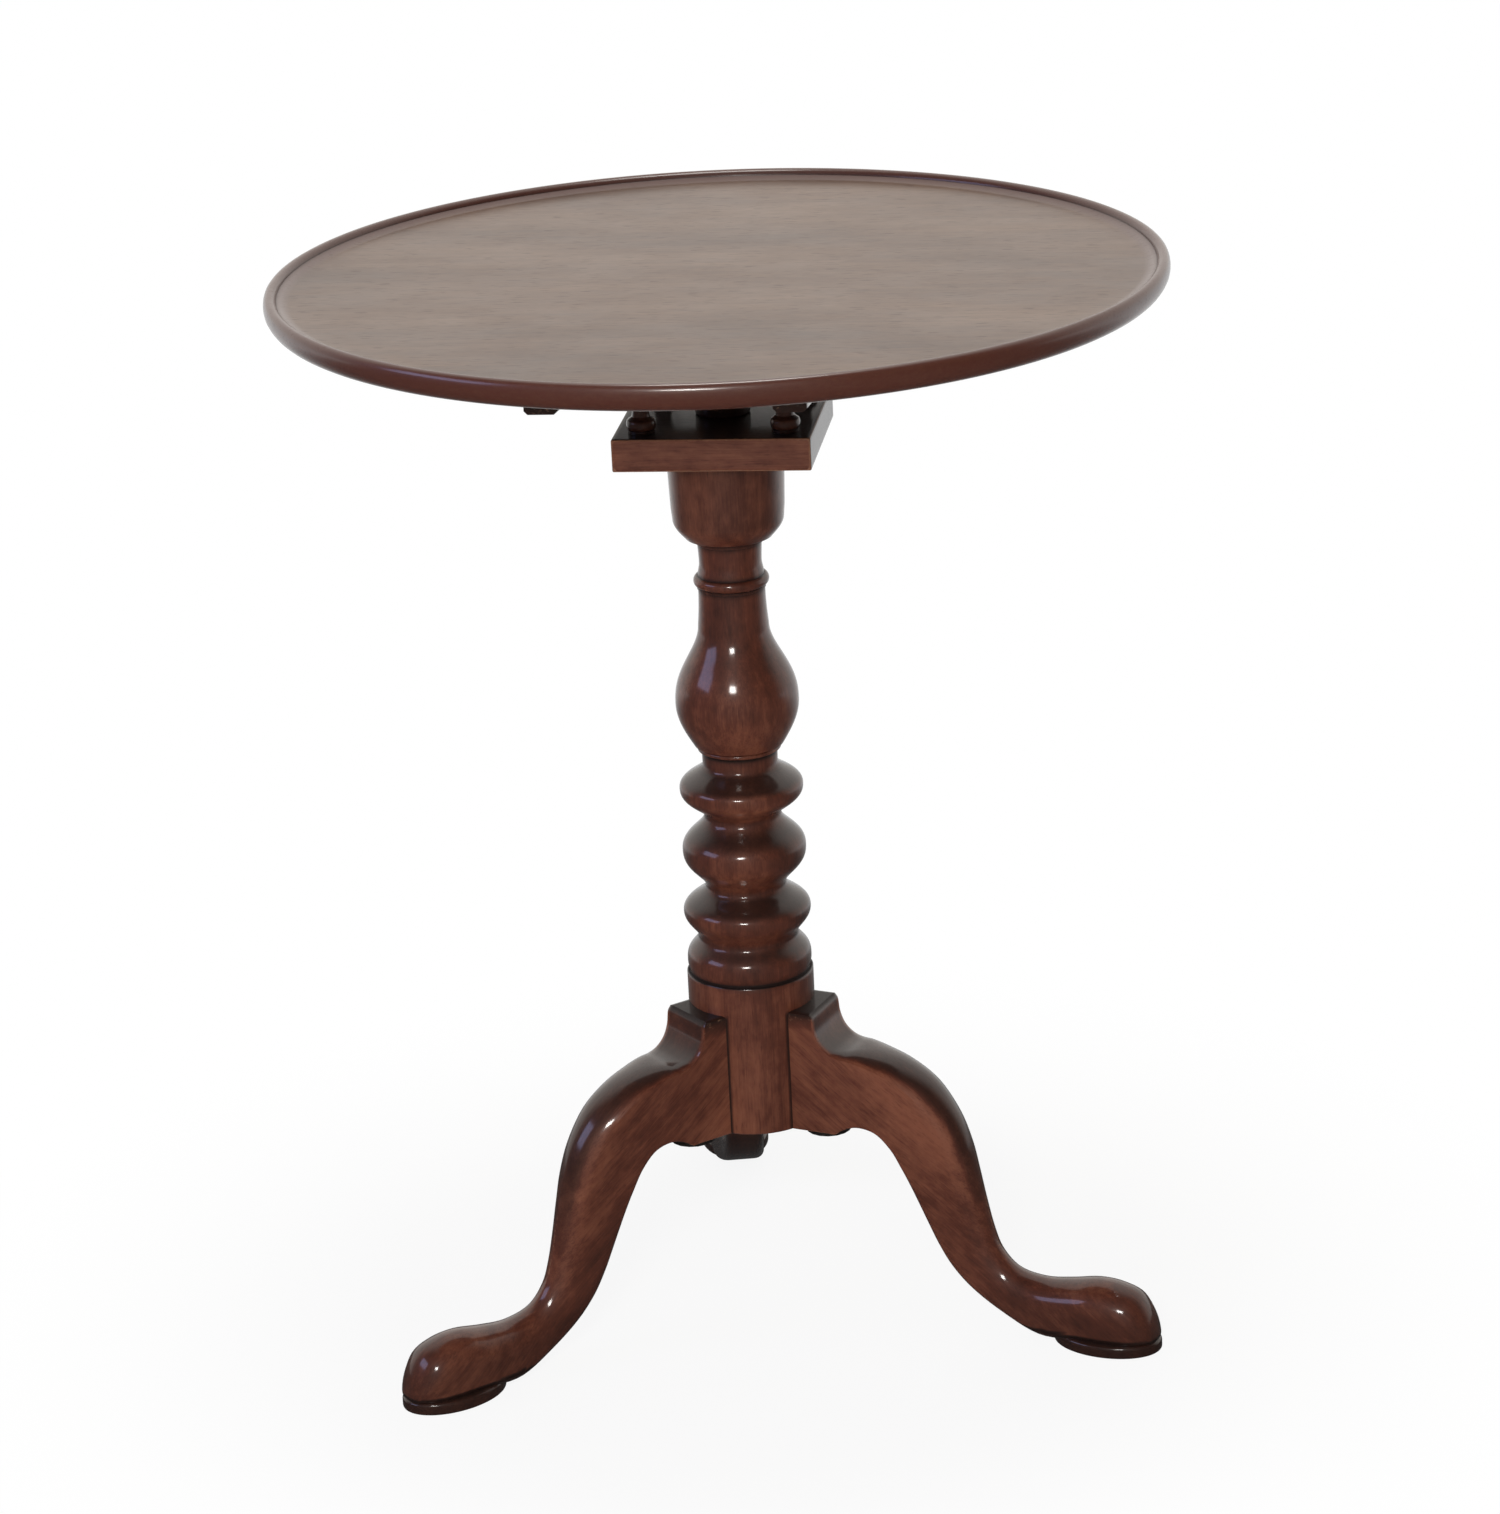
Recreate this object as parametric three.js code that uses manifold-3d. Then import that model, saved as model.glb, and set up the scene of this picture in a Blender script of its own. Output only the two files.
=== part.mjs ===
// A tilt-top candlestand: a dished round top on two bearers that hinge on a turning birdcage,
// a turned pillar and three cabriole legs on pad feet.
// Millimetres, +Z up. The origin is on the floor, under the middle of the pillar.
// +Y points from the front of the birdcage, where the top hinges, to its back, where the catch is.

import * as THREE from 'three';
import { mergeVertices } from 'three/addons/utils/BufferGeometryUtils.js';
import Module from 'manifold-3d';

const wasm = await Module();
wasm.setup();

// Clearances and overruns

const SEAT_GAP = 0.3;        // between pieces that rest on or fit into each other
const RUNNING_GAP = 0.4;     // round shafts and pintles that turn
const OVERRUN = 2;           // how far a cutter passes the surface it cuts

// Tripod

const LEG_REACH = 282.8;       // from the pillar's axis to the tip of a foot
const LEG_ROOT_HEIGHT = 130;   // underside of the legs and of the pillar
const LEG_SHOULDER = 83.3;     // height of a leg where it meets the pillar
const LEG_THICKNESS = 42;
const LEG_EDGE = 0.8;          // least rounding of a leg's long edges
const STAND_TURN = 12.2;       // degrees that the tripod is turned against the birdcage
const PAD_LENGTH = 73;
const PAD_WIDTH = 48;
const PAD_HEIGHT = 9;
const PAD_EDGE = 2.2;
const KEY_DEPTH = 15;          // dovetail key of a leg, into the pillar
const KEY_NECK = 13;
const KEY_TIP = 19;
const KEY_STOP = 9;            // how far the key ends below the leg's shoulder

// Pillar

const DRUM_RADIUS = 41.5;
const DRUM_COLLAR = 20.1;      // plain drum above the legs' shoulders
const DRUM_GROOVE = 1.8;
const GROOVE_DEPTH = 1.4;
const TURNED_RADIUS = 41.6;
const TURNED_LENGTH = 290.2;
const CAPITAL_LENGTH = 63.2;
const CAPITAL_RADIUS = 37.7;
const SHAFT_RADIUS = 13;
const SHAFT_RISE = 20;         // shaft above the collar, up to the journal's shoulder
const JOURNAL_RADIUS = 9.5;
const JOURNAL_RECESS = 1.2;    // journal's end below the top of the upper plate

// Collar and wedge

const COLLAR_RADIUS = 17.5;
const COLLAR_HEIGHT = 9.6;
const COLLAR_EDGE = 2;
const WEDGE_LENGTH = 74;
const WEDGE_THICKNESS = 7.4;
const WEDGE_THIN_END = 9;
const WEDGE_THICK_END = 13;
const WEDGE_HEAD_ROUND = 3;
const MORTISE_DROP = 3;        // mortise below the collar's top, so that the wedge bears on the collar

// Birdcage

const PLATE_WIDTH = 125;
const LOWER_PLATE_THICKNESS = 21;
const UPPER_PLATE_THICKNESS = 20;
const PLATE_ARRIS = 0.8;
const CAGE_GAP = 55.7;         // between the two plates
const COLONNETTE_INSET = 17.2; // colonnette's axis from the plates' edges
const COLONNETTE_RADIUS = 9.4;
const TENON_RADIUS = 5;
const TENON_LENGTH = 12;
const PINTLE_RADIUS = 7;
const PINTLE_LENGTH = 14;
const PINTLE_INSET = 9.5;      // pintle's axis behind the plates' front faces

// Top

const TOP_RADIUS = 283;
const BOARD_THICKNESS = 12;    // at the dished floor
const RIM_RISE = 6;            // rim above the dished floor
const RIM_WIDTH = 15;
const RIM_UNDERCUT = 12;       // width of the rounding under the edge
const BOARD_GAP = 0.5;         // between the board and the upper plate

// Bearers

const BEARER_WIDTH = 20;
const BEARER_DEPTH = 20;
const BEARER_GAP = 0.7;        // between a bearer and the birdcage
const BEARER_MARGIN = 47;      // bearer's end from the edge of the top
const BEARER_TAPER = 66;       // length of the sloped end
const BEARER_END_DEPTH = 11.3;
const BEARER_CHAMFER = 2.2;

// Screws, all with slotted flat heads

const SCREW_HEAD_RADIUS = 4.4;
const SCREW_HEAD_HEIGHT = 2.6;
const SCREW_SHANK_RADIUS = 2.1;
const SCREW_SLOT = 0.9;
const SCREW_SLOT_DEPTH = 1;
const BEARER_SCREW_BITE = 8;   // length in the board
const BEARER_SCREW_SHARE = 0.8; // outer screws' places along the bearers' straight part
const BEARER_SCREW_RECESS = 1;
const SMALL_HEAD_RADIUS = 2.7;
const SMALL_HEAD_HEIGHT = 1.4;
const SMALL_SHANK_RADIUS = 1.3;
const SMALL_SLOT = 0.6;
const SMALL_SLOT_DEPTH = 0.6;
const SMALL_SCREW_BITE = 7;

// Catch

const CASE_LENGTH = 62;
const CASE_WIDTH = 36;
const CASE_THICKNESS = 1.8;
const CASE_OFFSET = 4;         // case from the birdcage's back face
const GUIDE_LENGTH = 7;
const GUIDE_WALL = 2.4;
const GUIDE_INSET = 3;         // guide from the end of the case
const BOLT_WIDTH = 9;
const BOLT_HEIGHT = 5;
const BOLT_DROP = 3.4;         // bolt's top below the case, room for the spring
const BOLT_TRAVEL = 7;
const BOLT_STANDOFF = 1.4;     // drawn bolt from the strike
const BOLT_TAIL = 5;           // bolt past the far guide
const BOLT_GAP = 0.35;
const KNOB_RADIUS = 5.2;
const KNOB_HEIGHT = 10;
const KNOB_STEM = 1.8;
const KNOB_TENON = 3.4;
const SPRING_WIDTH = 6;
const SPRING_THICKNESS = 0.5;
const SPRING_END_GAP = 0.4;
const CASE_SCREW_INSET = 6.5;

// Strike

const STRIKE_WIDTH = 34;
const STRIKE_HEIGHT = 11;
const STRIKE_THICKNESS = 1.4;
const STRIKE_POCKET = 9;       // depth of the bolt's pocket in the plate
const STRIKE_CLEARANCE = 0.7;  // round the bolt
const STRIKE_SCREW_INSET = 5;

// Iron brace under the pillar

const BRACE_REACH = 67;
const BRACE_WIDTH = 18;
const BRACE_THICKNESS = 5;
const BRACE_HUB_RADIUS = 20;
const BRACE_END_RADIUS = 15;
const NAIL_HEAD_RADIUS = 4.6;
const NAIL_HEAD_HEIGHT = 2.2;
const NAIL_SHANK_RADIUS = 1.7;
const NAIL_LENGTH = 19;
const NAIL_POINT = 5;
const NAIL_INNER_SHARE = 0.22; // nails' places along the brace's arms
const NAIL_OUTER_SHARE = 0.8;

// Counts

const PILLAR_SIDES = 30;     // a multiple of three, so that every leg meets the same faces
const TOP_SIDES = 60;
const COLONNETTE_SIDES = 10;
const SHAFT_SIDES = 16;
const SCREW_SIDES = 8;
const NAIL_SIDES = 6;
const CURVE_STEPS = 4;
const ARC_STEPS = 4;
const CORNER_STEPS = 3;
const PAD_SIDES = 24;

// Heights that follow from the sizes above

const shoulderZ = LEG_ROOT_HEIGHT + LEG_SHOULDER;
const drumTopZ = shoulderZ + DRUM_COLLAR;
const turnedFootZ = drumTopZ + DRUM_GROOVE;
const turnedHeadZ = turnedFootZ + TURNED_LENGTH;
const capitalTopZ = turnedHeadZ + CAPITAL_LENGTH;
const lowerPlateZ = capitalTopZ + RUNNING_GAP;
const lowerPlateTopZ = lowerPlateZ + LOWER_PLATE_THICKNESS;
const upperPlateZ = lowerPlateTopZ + CAGE_GAP;
const upperPlateTopZ = upperPlateZ + UPPER_PLATE_THICKNESS;
const boardZ = upperPlateTopZ + BOARD_GAP;
const floorZ = boardZ + BOARD_THICKNESS;
const collarZ = lowerPlateTopZ + SEAT_GAP;
const collarTopZ = collarZ + COLLAR_HEIGHT;
const wedgeZ = collarTopZ + SEAT_GAP;
const journalTopZ = upperPlateTopZ - JOURNAL_RECESS;

const plateHalf = PLATE_WIDTH / 2;
const bearerInner = plateHalf + BEARER_GAP;
const bearerX = bearerInner + BEARER_WIDTH / 2;
const bearerHalf = TOP_RADIUS - BEARER_MARGIN;
const bearerTopZ = boardZ - SEAT_GAP;
const hingeY = PINTLE_INSET - plateHalf;
const hingeZ = upperPlateZ + UPPER_PLATE_THICKNESS / 2;

// Finishes

function finish(color, roughness, metalness) {
  return new THREE.MeshStandardMaterial({ color, roughness, metalness });
}
const mahogany = finish(0x4a2319, 0.35, 0);
const topMahogany = finish(0x5a3a2c, 0.3, 0);
const paleMahogany = finish(0x6d4230, 0.5, 0);
const brass = finish(0x9a7a3c, 0.35, 1);
const steel = finish(0x6a6660, 0.45, 1);
const iron = finish(0x1f1c1a, 0.7, 1);

// Solids

// Closed, merged geometry without slivers, its faces pointing out.
function closed(source) {
  const bare = source.clone();
  bare.deleteAttribute('normal');
  bare.deleteAttribute('uv');
  const merged = mergeVertices(bare);
  const place = merged.getAttribute('position');
  const faces = [];
  let volume = 0;
  const a = new THREE.Vector3();
  const b = new THREE.Vector3();
  const c = new THREE.Vector3();
  for (let i = 0; i < merged.index.count; i += 3) {
    const [p, q, r] = [0, 1, 2].map((k) => merged.index.getX(i + k));
    if (p === q || q === r || r === p) continue;
    a.fromBufferAttribute(place, p);
    b.fromBufferAttribute(place, q);
    c.fromBufferAttribute(place, r);
    volume += a.dot(b.cross(c));
    faces.push(p, q, r);
  }
  if (volume < 0) faces.reverse();
  merged.setIndex(faces);
  return merged;
}

function solid(geometry) {
  const merged = closed(geometry);
  return new wasm.Manifold(new wasm.Mesh({
    numProp: 3,
    vertProperties: new Float32Array(merged.getAttribute('position').array),
    triVerts: new Uint32Array(merged.index.array),
  }));
}

function geometryOf(body) {
  const mesh = body.getMesh();
  const geometry = new THREE.BufferGeometry();
  geometry.setAttribute('position', new THREE.BufferAttribute(new Float32Array(mesh.vertProperties), 3));
  geometry.setIndex(new THREE.BufferAttribute(new Uint32Array(mesh.triVerts), 1));
  return geometry;
}

function piece(name, body, material) {
  const geometry = body.isBufferGeometry ? closed(body) : geometryOf(body);
  geometry.computeVertexNormals();
  const mesh = new THREE.Mesh(geometry, material);
  mesh.name = name;
  return mesh;
}

function box(width, depth, height) {
  return new THREE.BoxGeometry(width, depth, height);
}

// A turned shape about Z from [radius, height] points that start and end on the axis.
function turned(points, sides) {
  const outline = points.map(([radius, height]) => new THREE.Vector2(Math.max(radius, 0), height));
  return new THREE.LatheGeometry(outline, sides).rotateX(Math.PI / 2);
}

// A cylinder about Z from one height to another.
function rod(radius, from, to, sides) {
  return turned([[0, from], [radius, from], [radius, to], [0, to]], sides);
}

// An outline in the YZ plane, drawn out along X between two places.
function drawnAlongX(points, from, to) {
  const shape = new THREE.Shape(points.map(([y, z]) => new THREE.Vector2(y, z)));
  const body = new THREE.ExtrudeGeometry(shape, { depth: to - from, bevelEnabled: false });
  return body.applyMatrix4(new THREE.Matrix4().set(0, 0, 1, from, 1, 0, 0, 0, 0, 1, 0, 0, 0, 0, 0, 1));
}

// An outline in the XY plane, drawn up between two heights.
function drawnUp(points, from, to) {
  const shape = new THREE.Shape(points.map(([x, y]) => new THREE.Vector2(x, y)));
  return new THREE.ExtrudeGeometry(shape, { depth: to - from, bevelEnabled: false }).translate(0, 0, from);
}

// A closed skin over rings of equal point counts, with both ends filled.
function lofted(rings) {
  const around = rings[0].length;
  const places = rings.flat(2);
  const faces = [];
  for (let r = 0; r + 1 < rings.length; r += 1) {
    for (let i = 0; i < around; i += 1) {
      const j = (i + 1) % around;
      const [a, b, c, d] = [r * around + i, r * around + j, (r + 1) * around + j, (r + 1) * around + i];
      faces.push(a, b, c, a, c, d);
    }
  }
  for (const [start, flip] of [[0, true], [(rings.length - 1) * around, false]]) {
    for (let i = 1; i + 1 < around; i += 1) {
      const [p, q] = flip ? [start + i + 1, start + i] : [start + i, start + i + 1];
      faces.push(start, p, q);
    }
  }
  const geometry = new THREE.BufferGeometry();
  geometry.setAttribute('position', new THREE.Float32BufferAttribute(places, 3));
  geometry.setIndex(faces);
  return geometry;
}

// Pieces of a turned outline

// Eases between two radii over a height. Fullness over 1 keeps the wide end wide for longer.
function ease([r0, z0], [r1, z1], fullness = 1) {
  const points = [];
  for (let i = 1; i <= CURVE_STEPS; i += 1) {
    const t = i / CURVE_STEPS;
    const fromWide = r0 > r1 ? t : 1 - t;
    const wide = (1 + Math.cos(Math.PI * fromWide ** fullness)) / 2;
    points.push([Math.min(r0, r1) + Math.abs(r1 - r0) * wide, z0 + (z1 - z0) * t]);
  }
  return points;
}

// A quarter swell from the first point to the second, level with the axis at the second.
function swell([r0, z0], [r1, z1]) {
  const points = [];
  for (let i = 1; i <= ARC_STEPS; i += 1) {
    const t = i / ARC_STEPS;
    points.push([r0 + (r1 - r0) * Math.sin(t * Math.PI / 2), z0 + (z1 - z0) * t]);
  }
  return points;
}

// Named stations of an outline, each put in place.
function placed(shares, place) {
  return Object.fromEntries(Object.entries(shares).map(([name, share]) => [name, place(share)]));
}

// A half-round bead between two heights, standing out of one radius to another.
function bead(rootRadius, radius, from, to) {
  const points = [];
  for (let i = 0; i <= ARC_STEPS; i += 1) {
    const angle = Math.PI * i / ARC_STEPS;
    points.push([
      rootRadius + (radius - rootRadius) * Math.sin(angle),
      (from + to) / 2 - (to - from) / 2 * Math.cos(angle),
    ]);
  }
  return points;
}

// Fasteners, each with its point up and its head's face at height zero

function screwOutline(headRadius, headHeight, shankRadius, length, gap) {
  return [
    [0, -gap],
    [headRadius + gap, -gap],
    [shankRadius + gap, headHeight],
    [shankRadius + gap, length - shankRadius],
    [0, length + gap],
  ];
}

function screw(headRadius, headHeight, shankRadius, length, slot, slotDepth) {
  const body = solid(turned(screwOutline(headRadius, headHeight, shankRadius, length, 0), SCREW_SIDES));
  const cutter = solid(box(slot, (headRadius + OVERRUN) * 2, slotDepth * 2));
  return geometryOf(body.subtract(cutter));
}

function screwHole(headRadius, headHeight, shankRadius, length) {
  return turned(screwOutline(headRadius, headHeight, shankRadius, length, SEAT_GAP), SCREW_SIDES);
}

// Legs

// Reach along a leg, from the pillar's surface at 0 to the tip of the foot at 1.
function legReach(share) {
  return DRUM_RADIUS + share * (LEG_REACH - DRUM_RADIUS);
}

// Height on a leg: 0 the floor, 1 the underside at the pillar, 2 the shoulder.
function legHeight(share) {
  return share <= 1 ? share * LEG_ROOT_HEIGHT : LEG_ROOT_HEIGHT + (share - 1) * LEG_SHOULDER;
}

// Ribs across a leg. Each has its place on the upper edge (reach and height), its place on the
// underside, its thickness, how far its upper face is crowned and how far its lower edges are rounded,
// both against its thickness.
const LEG_RIB_SHARES = [
  [-0.09, 2, -0.09, 1, 1, 0.02, 0.02],
  [0.038, 2, 0.03, 1, 1, 0.02, 0.02],
  [0.0465, 1.965, 0.038, 1, 1, 0.02, 0.02],
  [0.0519, 1.8566, 0.046, 1, 1, 0.02, 0.02],
  [0.0664, 1.7593, 0.062, 1, 1, 0.025, 0.02],
  [0.0915, 1.6952, 0.0825, 1, 1, 0.035, 0.02],
  [0.1189, 1.6777, 0.1, 1, 1, 0.06, 0.02],
  [0.1529, 1.681, 0.1213, 1.0399, 0.995, 0.09, 0.03],
  [0.2021, 1.6633, 0.1598, 1.0766, 0.98, 0.13, 0.04],
  [0.2831, 1.5955, 0.2132, 1.0474, 0.94, 0.18, 0.0385],
  [0.3647, 1.4544, 0.255, 0.9495, 0.88, 0.24, 0.055],
  [0.4304, 1.2106, 0.2825, 0.8444, 0.8, 0.3, 0.077],
  [0.4648, 0.9842, 0.3054, 0.7457, 0.74, 0.35, 0.099],
  [0.4853, 0.836, 0.3249, 0.656, 0.69, 0.38, 0.11],
  [0.5034, 0.6839, 0.3486, 0.552, 0.655, 0.4, 0.121],
  [0.5243, 0.531, 0.376, 0.4405, 0.63, 0.42, 0.132],
  [0.5469, 0.4254, 0.4117, 0.3303, 0.62, 0.43, 0.143],
  [0.5934, 0.3327, 0.4695, 0.2209, 0.64, 0.43, 0.154],
  [0.6674, 0.3009, 0.5622, 0.1146, 0.71, 0.42, 0.154],
  [0.7436, 0.3156, 0.671, 0.042, 0.84, 0.4, 0.11],
  [0.8206, 0.3399, 0.7745, 0.04, 0.94, 0.4, 0.16],
  [0.8849, 0.332, 0.866, 0.04, 0.96, 0.4, 0.16],
  [0.9426, 0.2925, 0.928, 0.04, 0.87, 0.4, 0.16],
  [0.9786, 0.1963, 0.97, 0.045, 0.64, 0.35, 0.16],
  [0.9913, 0.0901, 0.99, 0.06, 0.33, 0.2, 0.14],
];

const CROWN_LIMIT_SHARE = 0.6;   // of a rib's height that its crown may take
const EDGE_LIMIT_SHARE = 0.35;   // of a rib's height that a lower edge may take
const FULL_CROWN_SHARE = 0.12;   // crown at which a rib's whole width is rounded

// A rib's outline, from its upper near corner round to its lower far corner.
function ribRing([upReach, upHeight, lowReach, lowHeight, thickness, crown, edge]) {
  const high = [legReach(upReach), legHeight(upHeight)];
  const low = [legReach(lowReach), legHeight(lowHeight)];
  const length = Math.hypot(high[0] - low[0], high[1] - low[1]);
  const half = LEG_THICKNESS * thickness / 2;
  const crownHeight = Math.max(LEG_EDGE, Math.min(LEG_THICKNESS * crown, length * CROWN_LIMIT_SHARE));
  const crownWidth = Math.min(half, Math.max(LEG_EDGE, half * Math.min(1, crown / FULL_CROWN_SHARE)));
  const edgeRound = Math.max(LEG_EDGE, Math.min(LEG_THICKNESS * edge, length * EDGE_LIMIT_SHARE, half));
  const corners = [
    [1, crownWidth, crownHeight, 1],
    [-1, crownWidth, crownHeight, 1],
    [-1, edgeRound, edgeRound, 0],
    [1, edgeRound, edgeRound, 0],
  ];
  const ring = [];
  corners.forEach(([side, across, along, upper], k) => {
    for (let i = 0; i <= CORNER_STEPS; i += 1) {
      const angle = Math.PI / 2 * (k + i / CORNER_STEPS);
      const v = side * (half - across) + across * Math.cos(angle);
      const up = upper ? length - along + along * Math.sin(angle) : along + along * Math.sin(angle);
      const t = up / length;
      ring.push([low[0] + (high[0] - low[0]) * t, v, low[1] + (high[1] - low[1]) * t]);
    }
  });
  return ring;
}

function keyOutline(gap) {
  const inner = DRUM_RADIUS - KEY_DEPTH - gap;
  const outer = DRUM_RADIUS + OVERRUN;
  return [
    [inner, -KEY_TIP / 2 - gap],
    [outer, -KEY_NECK / 2 - gap],
    [outer, KEY_NECK / 2 + gap],
    [inner, KEY_TIP / 2 + gap],
  ];
}

function padOutline() {
  return [
    [0, 0],
    [1 - PAD_EDGE / PAD_WIDTH * 2, 0],
    [1, PAD_EDGE],
    [1, PAD_HEIGHT - PAD_EDGE],
    [1 - PAD_EDGE / PAD_WIDTH * 2, PAD_HEIGHT],
    [0, PAD_HEIGHT],
  ];
}

const padReach = LEG_REACH - PAD_LENGTH / 2;
const keyTopZ = shoulderZ - KEY_STOP;

function legBody(nailHole) {
  const pad = turned(padOutline(), PAD_SIDES)
    .scale(PAD_LENGTH / 2, PAD_WIDTH / 2, 1).translate(padReach, 0, 0);
  const drum = rod(DRUM_RADIUS + SEAT_GAP, -OVERRUN, drumTopZ, PILLAR_SIDES);
  const key = drawnUp(keyOutline(0), LEG_ROOT_HEIGHT, keyTopZ);
  drum.rotateZ(-legAngles[0]);
  return solid(lofted(LEG_RIB_SHARES.map(ribRing)))
    .subtract(solid(drum))
    .add(solid(key))
    .add(solid(pad))
    .subtract(solid(nailHole));
}

// Pillar

// Height and radius of the turned outline's stations, against the turned length and radius.
const TURNED_SHARES = {
  capWide: [0.978, 0.0165],
  capNeck: [0.784, 0.0765],
  thirdRing: [1, 0.1371],
  thirdNeck: [0.631, 0.1978],
  secondRing: [0.968, 0.2839],
  secondNeck: [0.604, 0.3646],
  firstRing: [0.966, 0.43],
  firstNeck: [0.587, 0.4869],
  vaseNeck: [0.59, 0.5168],
  vaseBead: [0.655, 0.5306],
  vaseEdge: [0.7, 0.5325],
  vaseWide: [0.959, 0.6299],
  vaseTop: [0.5485, 0.8091],
  stem: [0.516, 0.8938],
  fillet: [0.532, 0.8952],
  filletTop: [0.532, 0.9002],
  beadRoot: [0.515, 0.9008],
  beadTop: [0.585, 0.9249],
  waist: [0.483, 0.9538],
  head: [0.495, 1],
};
// Radius and height of the capital's stations, against its own.
const CAPITAL_SHARES = {
  fillet: [0.583, 0],
  filletTop: [0.583, 0.06],
  lip: [0.75, 0.062],
  shoulder: [0.946, 0.262],
  wall: [0.965, 0.38],
};
// How far each curve keeps to its wide end, as ease takes it.
const FULLNESS_SHARES = {
  capOver: 1.7,
  thirdUnder: 1.1,
  thirdOver: 1.25,
  secondUnder: 1.32,
  secondOver: 1.25,
  firstUnder: 1.3,
  firstOver: 1.2,
  vaseOver: 1.2,
};

function turnedPlace([radius, height]) {
  return [radius * TURNED_RADIUS, turnedFootZ + height * TURNED_LENGTH];
}

function capitalPlace([radius, height]) {
  return [radius * CAPITAL_RADIUS, turnedHeadZ + height * CAPITAL_LENGTH];
}

function pillarOutline() {
  const at = placed(TURNED_SHARES, turnedPlace);
  const capital = placed(CAPITAL_SHARES, capitalPlace);
  const full = FULLNESS_SHARES;
  return [
    [0, LEG_ROOT_HEIGHT],
    [DRUM_RADIUS, LEG_ROOT_HEIGHT],
    [DRUM_RADIUS, drumTopZ - GROOVE_DEPTH / 2],
    [DRUM_RADIUS - GROOVE_DEPTH, drumTopZ],
    [DRUM_RADIUS - GROOVE_DEPTH, turnedFootZ],
    at.capWide,
    ...ease(at.capWide, at.capNeck, full.capOver),
    ...ease(at.capNeck, at.thirdRing, full.thirdUnder),
    ...ease(at.thirdRing, at.thirdNeck, full.thirdOver),
    ...ease(at.thirdNeck, at.secondRing, full.secondUnder),
    ...ease(at.secondRing, at.secondNeck, full.secondOver),
    ...ease(at.secondNeck, at.firstRing, full.firstUnder),
    ...ease(at.firstRing, at.firstNeck, full.firstOver),
    at.vaseNeck,
    ...bead(at.vaseNeck[0], at.vaseBead[0], at.vaseNeck[1], at.vaseBead[1]).slice(1),
    at.vaseEdge,
    ...swell(at.vaseEdge, at.vaseWide),
    ...ease(at.vaseWide, at.vaseTop, full.vaseOver),
    at.stem,
    at.fillet,
    at.filletTop,
    ...bead(at.beadRoot[0], at.beadTop[0], at.beadRoot[1], at.beadTop[1]),
    at.waist,
    at.head,
    capital.fillet,
    capital.filletTop,
    capital.lip,
    ...swell(capital.lip, capital.shoulder),
    capital.wall,
    [CAPITAL_RADIUS, capitalTopZ],
    [SHAFT_RADIUS, capitalTopZ],
    [SHAFT_RADIUS, collarTopZ + SHAFT_RISE],
    [JOURNAL_RADIUS, collarTopZ + SHAFT_RISE + SHAFT_RADIUS - JOURNAL_RADIUS],
    [JOURNAL_RADIUS, journalTopZ],
    [0, journalTopZ],
  ];
}

// Rise of the wedge's sloped upper side at a place along X.
function wedgeTop(x) {
  const slope = (WEDGE_THICK_END - WEDGE_THIN_END) / WEDGE_LENGTH;
  return wedgeZ + (WEDGE_THIN_END + WEDGE_THICK_END) / 2 + slope * x;
}

// The mortise's roof lies just above the wedge where it leaves the shaft.
function mortise() {
  const from = wedgeZ - MORTISE_DROP;
  const to = wedgeTop(SHAFT_RADIUS) + SEAT_GAP;
  const height = to - from;
  const length = (SHAFT_RADIUS + OVERRUN) * 2;
  return box(length, WEDGE_THICKNESS + SEAT_GAP * 2, height).translate(0, 0, from + height / 2);
}

function pillarBody(nailHoles, legAngles) {
  const cutters = legAngles.map((angle) => drawnUp(
    keyOutline(SEAT_GAP), LEG_ROOT_HEIGHT - OVERRUN, keyTopZ + SEAT_GAP,
  ).rotateZ(angle));
  return [...cutters, ...nailHoles, mortise().rotateZ(-standTurn)]
    .reduce((body, cutter) => body.subtract(solid(cutter)), solid(turned(pillarOutline(), PILLAR_SIDES)));
}

// Iron brace

function braceArm() {
  const half = BRACE_WIDTH / 2;
  const centre = BRACE_REACH - half;
  const points = [[0, -half]];
  for (let i = 0; i <= ARC_STEPS; i += 1) {
    const angle = Math.PI * (i / ARC_STEPS - 1 / 2);
    points.push([centre + half * Math.cos(angle), half * Math.sin(angle)]);
  }
  points.push([0, half]);
  return points;
}

const braceTopZ = LEG_ROOT_HEIGHT - SEAT_GAP;
const braceZ = braceTopZ - BRACE_THICKNESS;
const nailZ = braceZ - SEAT_GAP;

function braceBody(nailHoles, legAngles) {
  const hub = solid(rod(BRACE_HUB_RADIUS, braceZ, braceTopZ, SHAFT_SIDES));
  const arms = legAngles.flatMap((angle) => [
    drawnUp(braceArm(), braceZ, braceTopZ).rotateZ(angle),
    rod(BRACE_END_RADIUS, braceZ, braceTopZ, SHAFT_SIDES)
      .translate(BRACE_REACH - BRACE_END_RADIUS, 0, 0).rotateZ(angle),
  ]);
  const plain = arms.reduce((body, arm) => body.add(solid(arm)), hub);
  return nailHoles.reduce((body, hole) => body.subtract(solid(hole)), plain);
}

function nail() {
  return turned([
    [0, -NAIL_HEAD_HEIGHT],
    [NAIL_HEAD_RADIUS / 2, -NAIL_HEAD_HEIGHT],
    [NAIL_HEAD_RADIUS, 0],
    [NAIL_SHANK_RADIUS, 0],
    [NAIL_SHANK_RADIUS, NAIL_LENGTH - NAIL_POINT],
    [0, NAIL_LENGTH],
  ], NAIL_SIDES);
}

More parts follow.
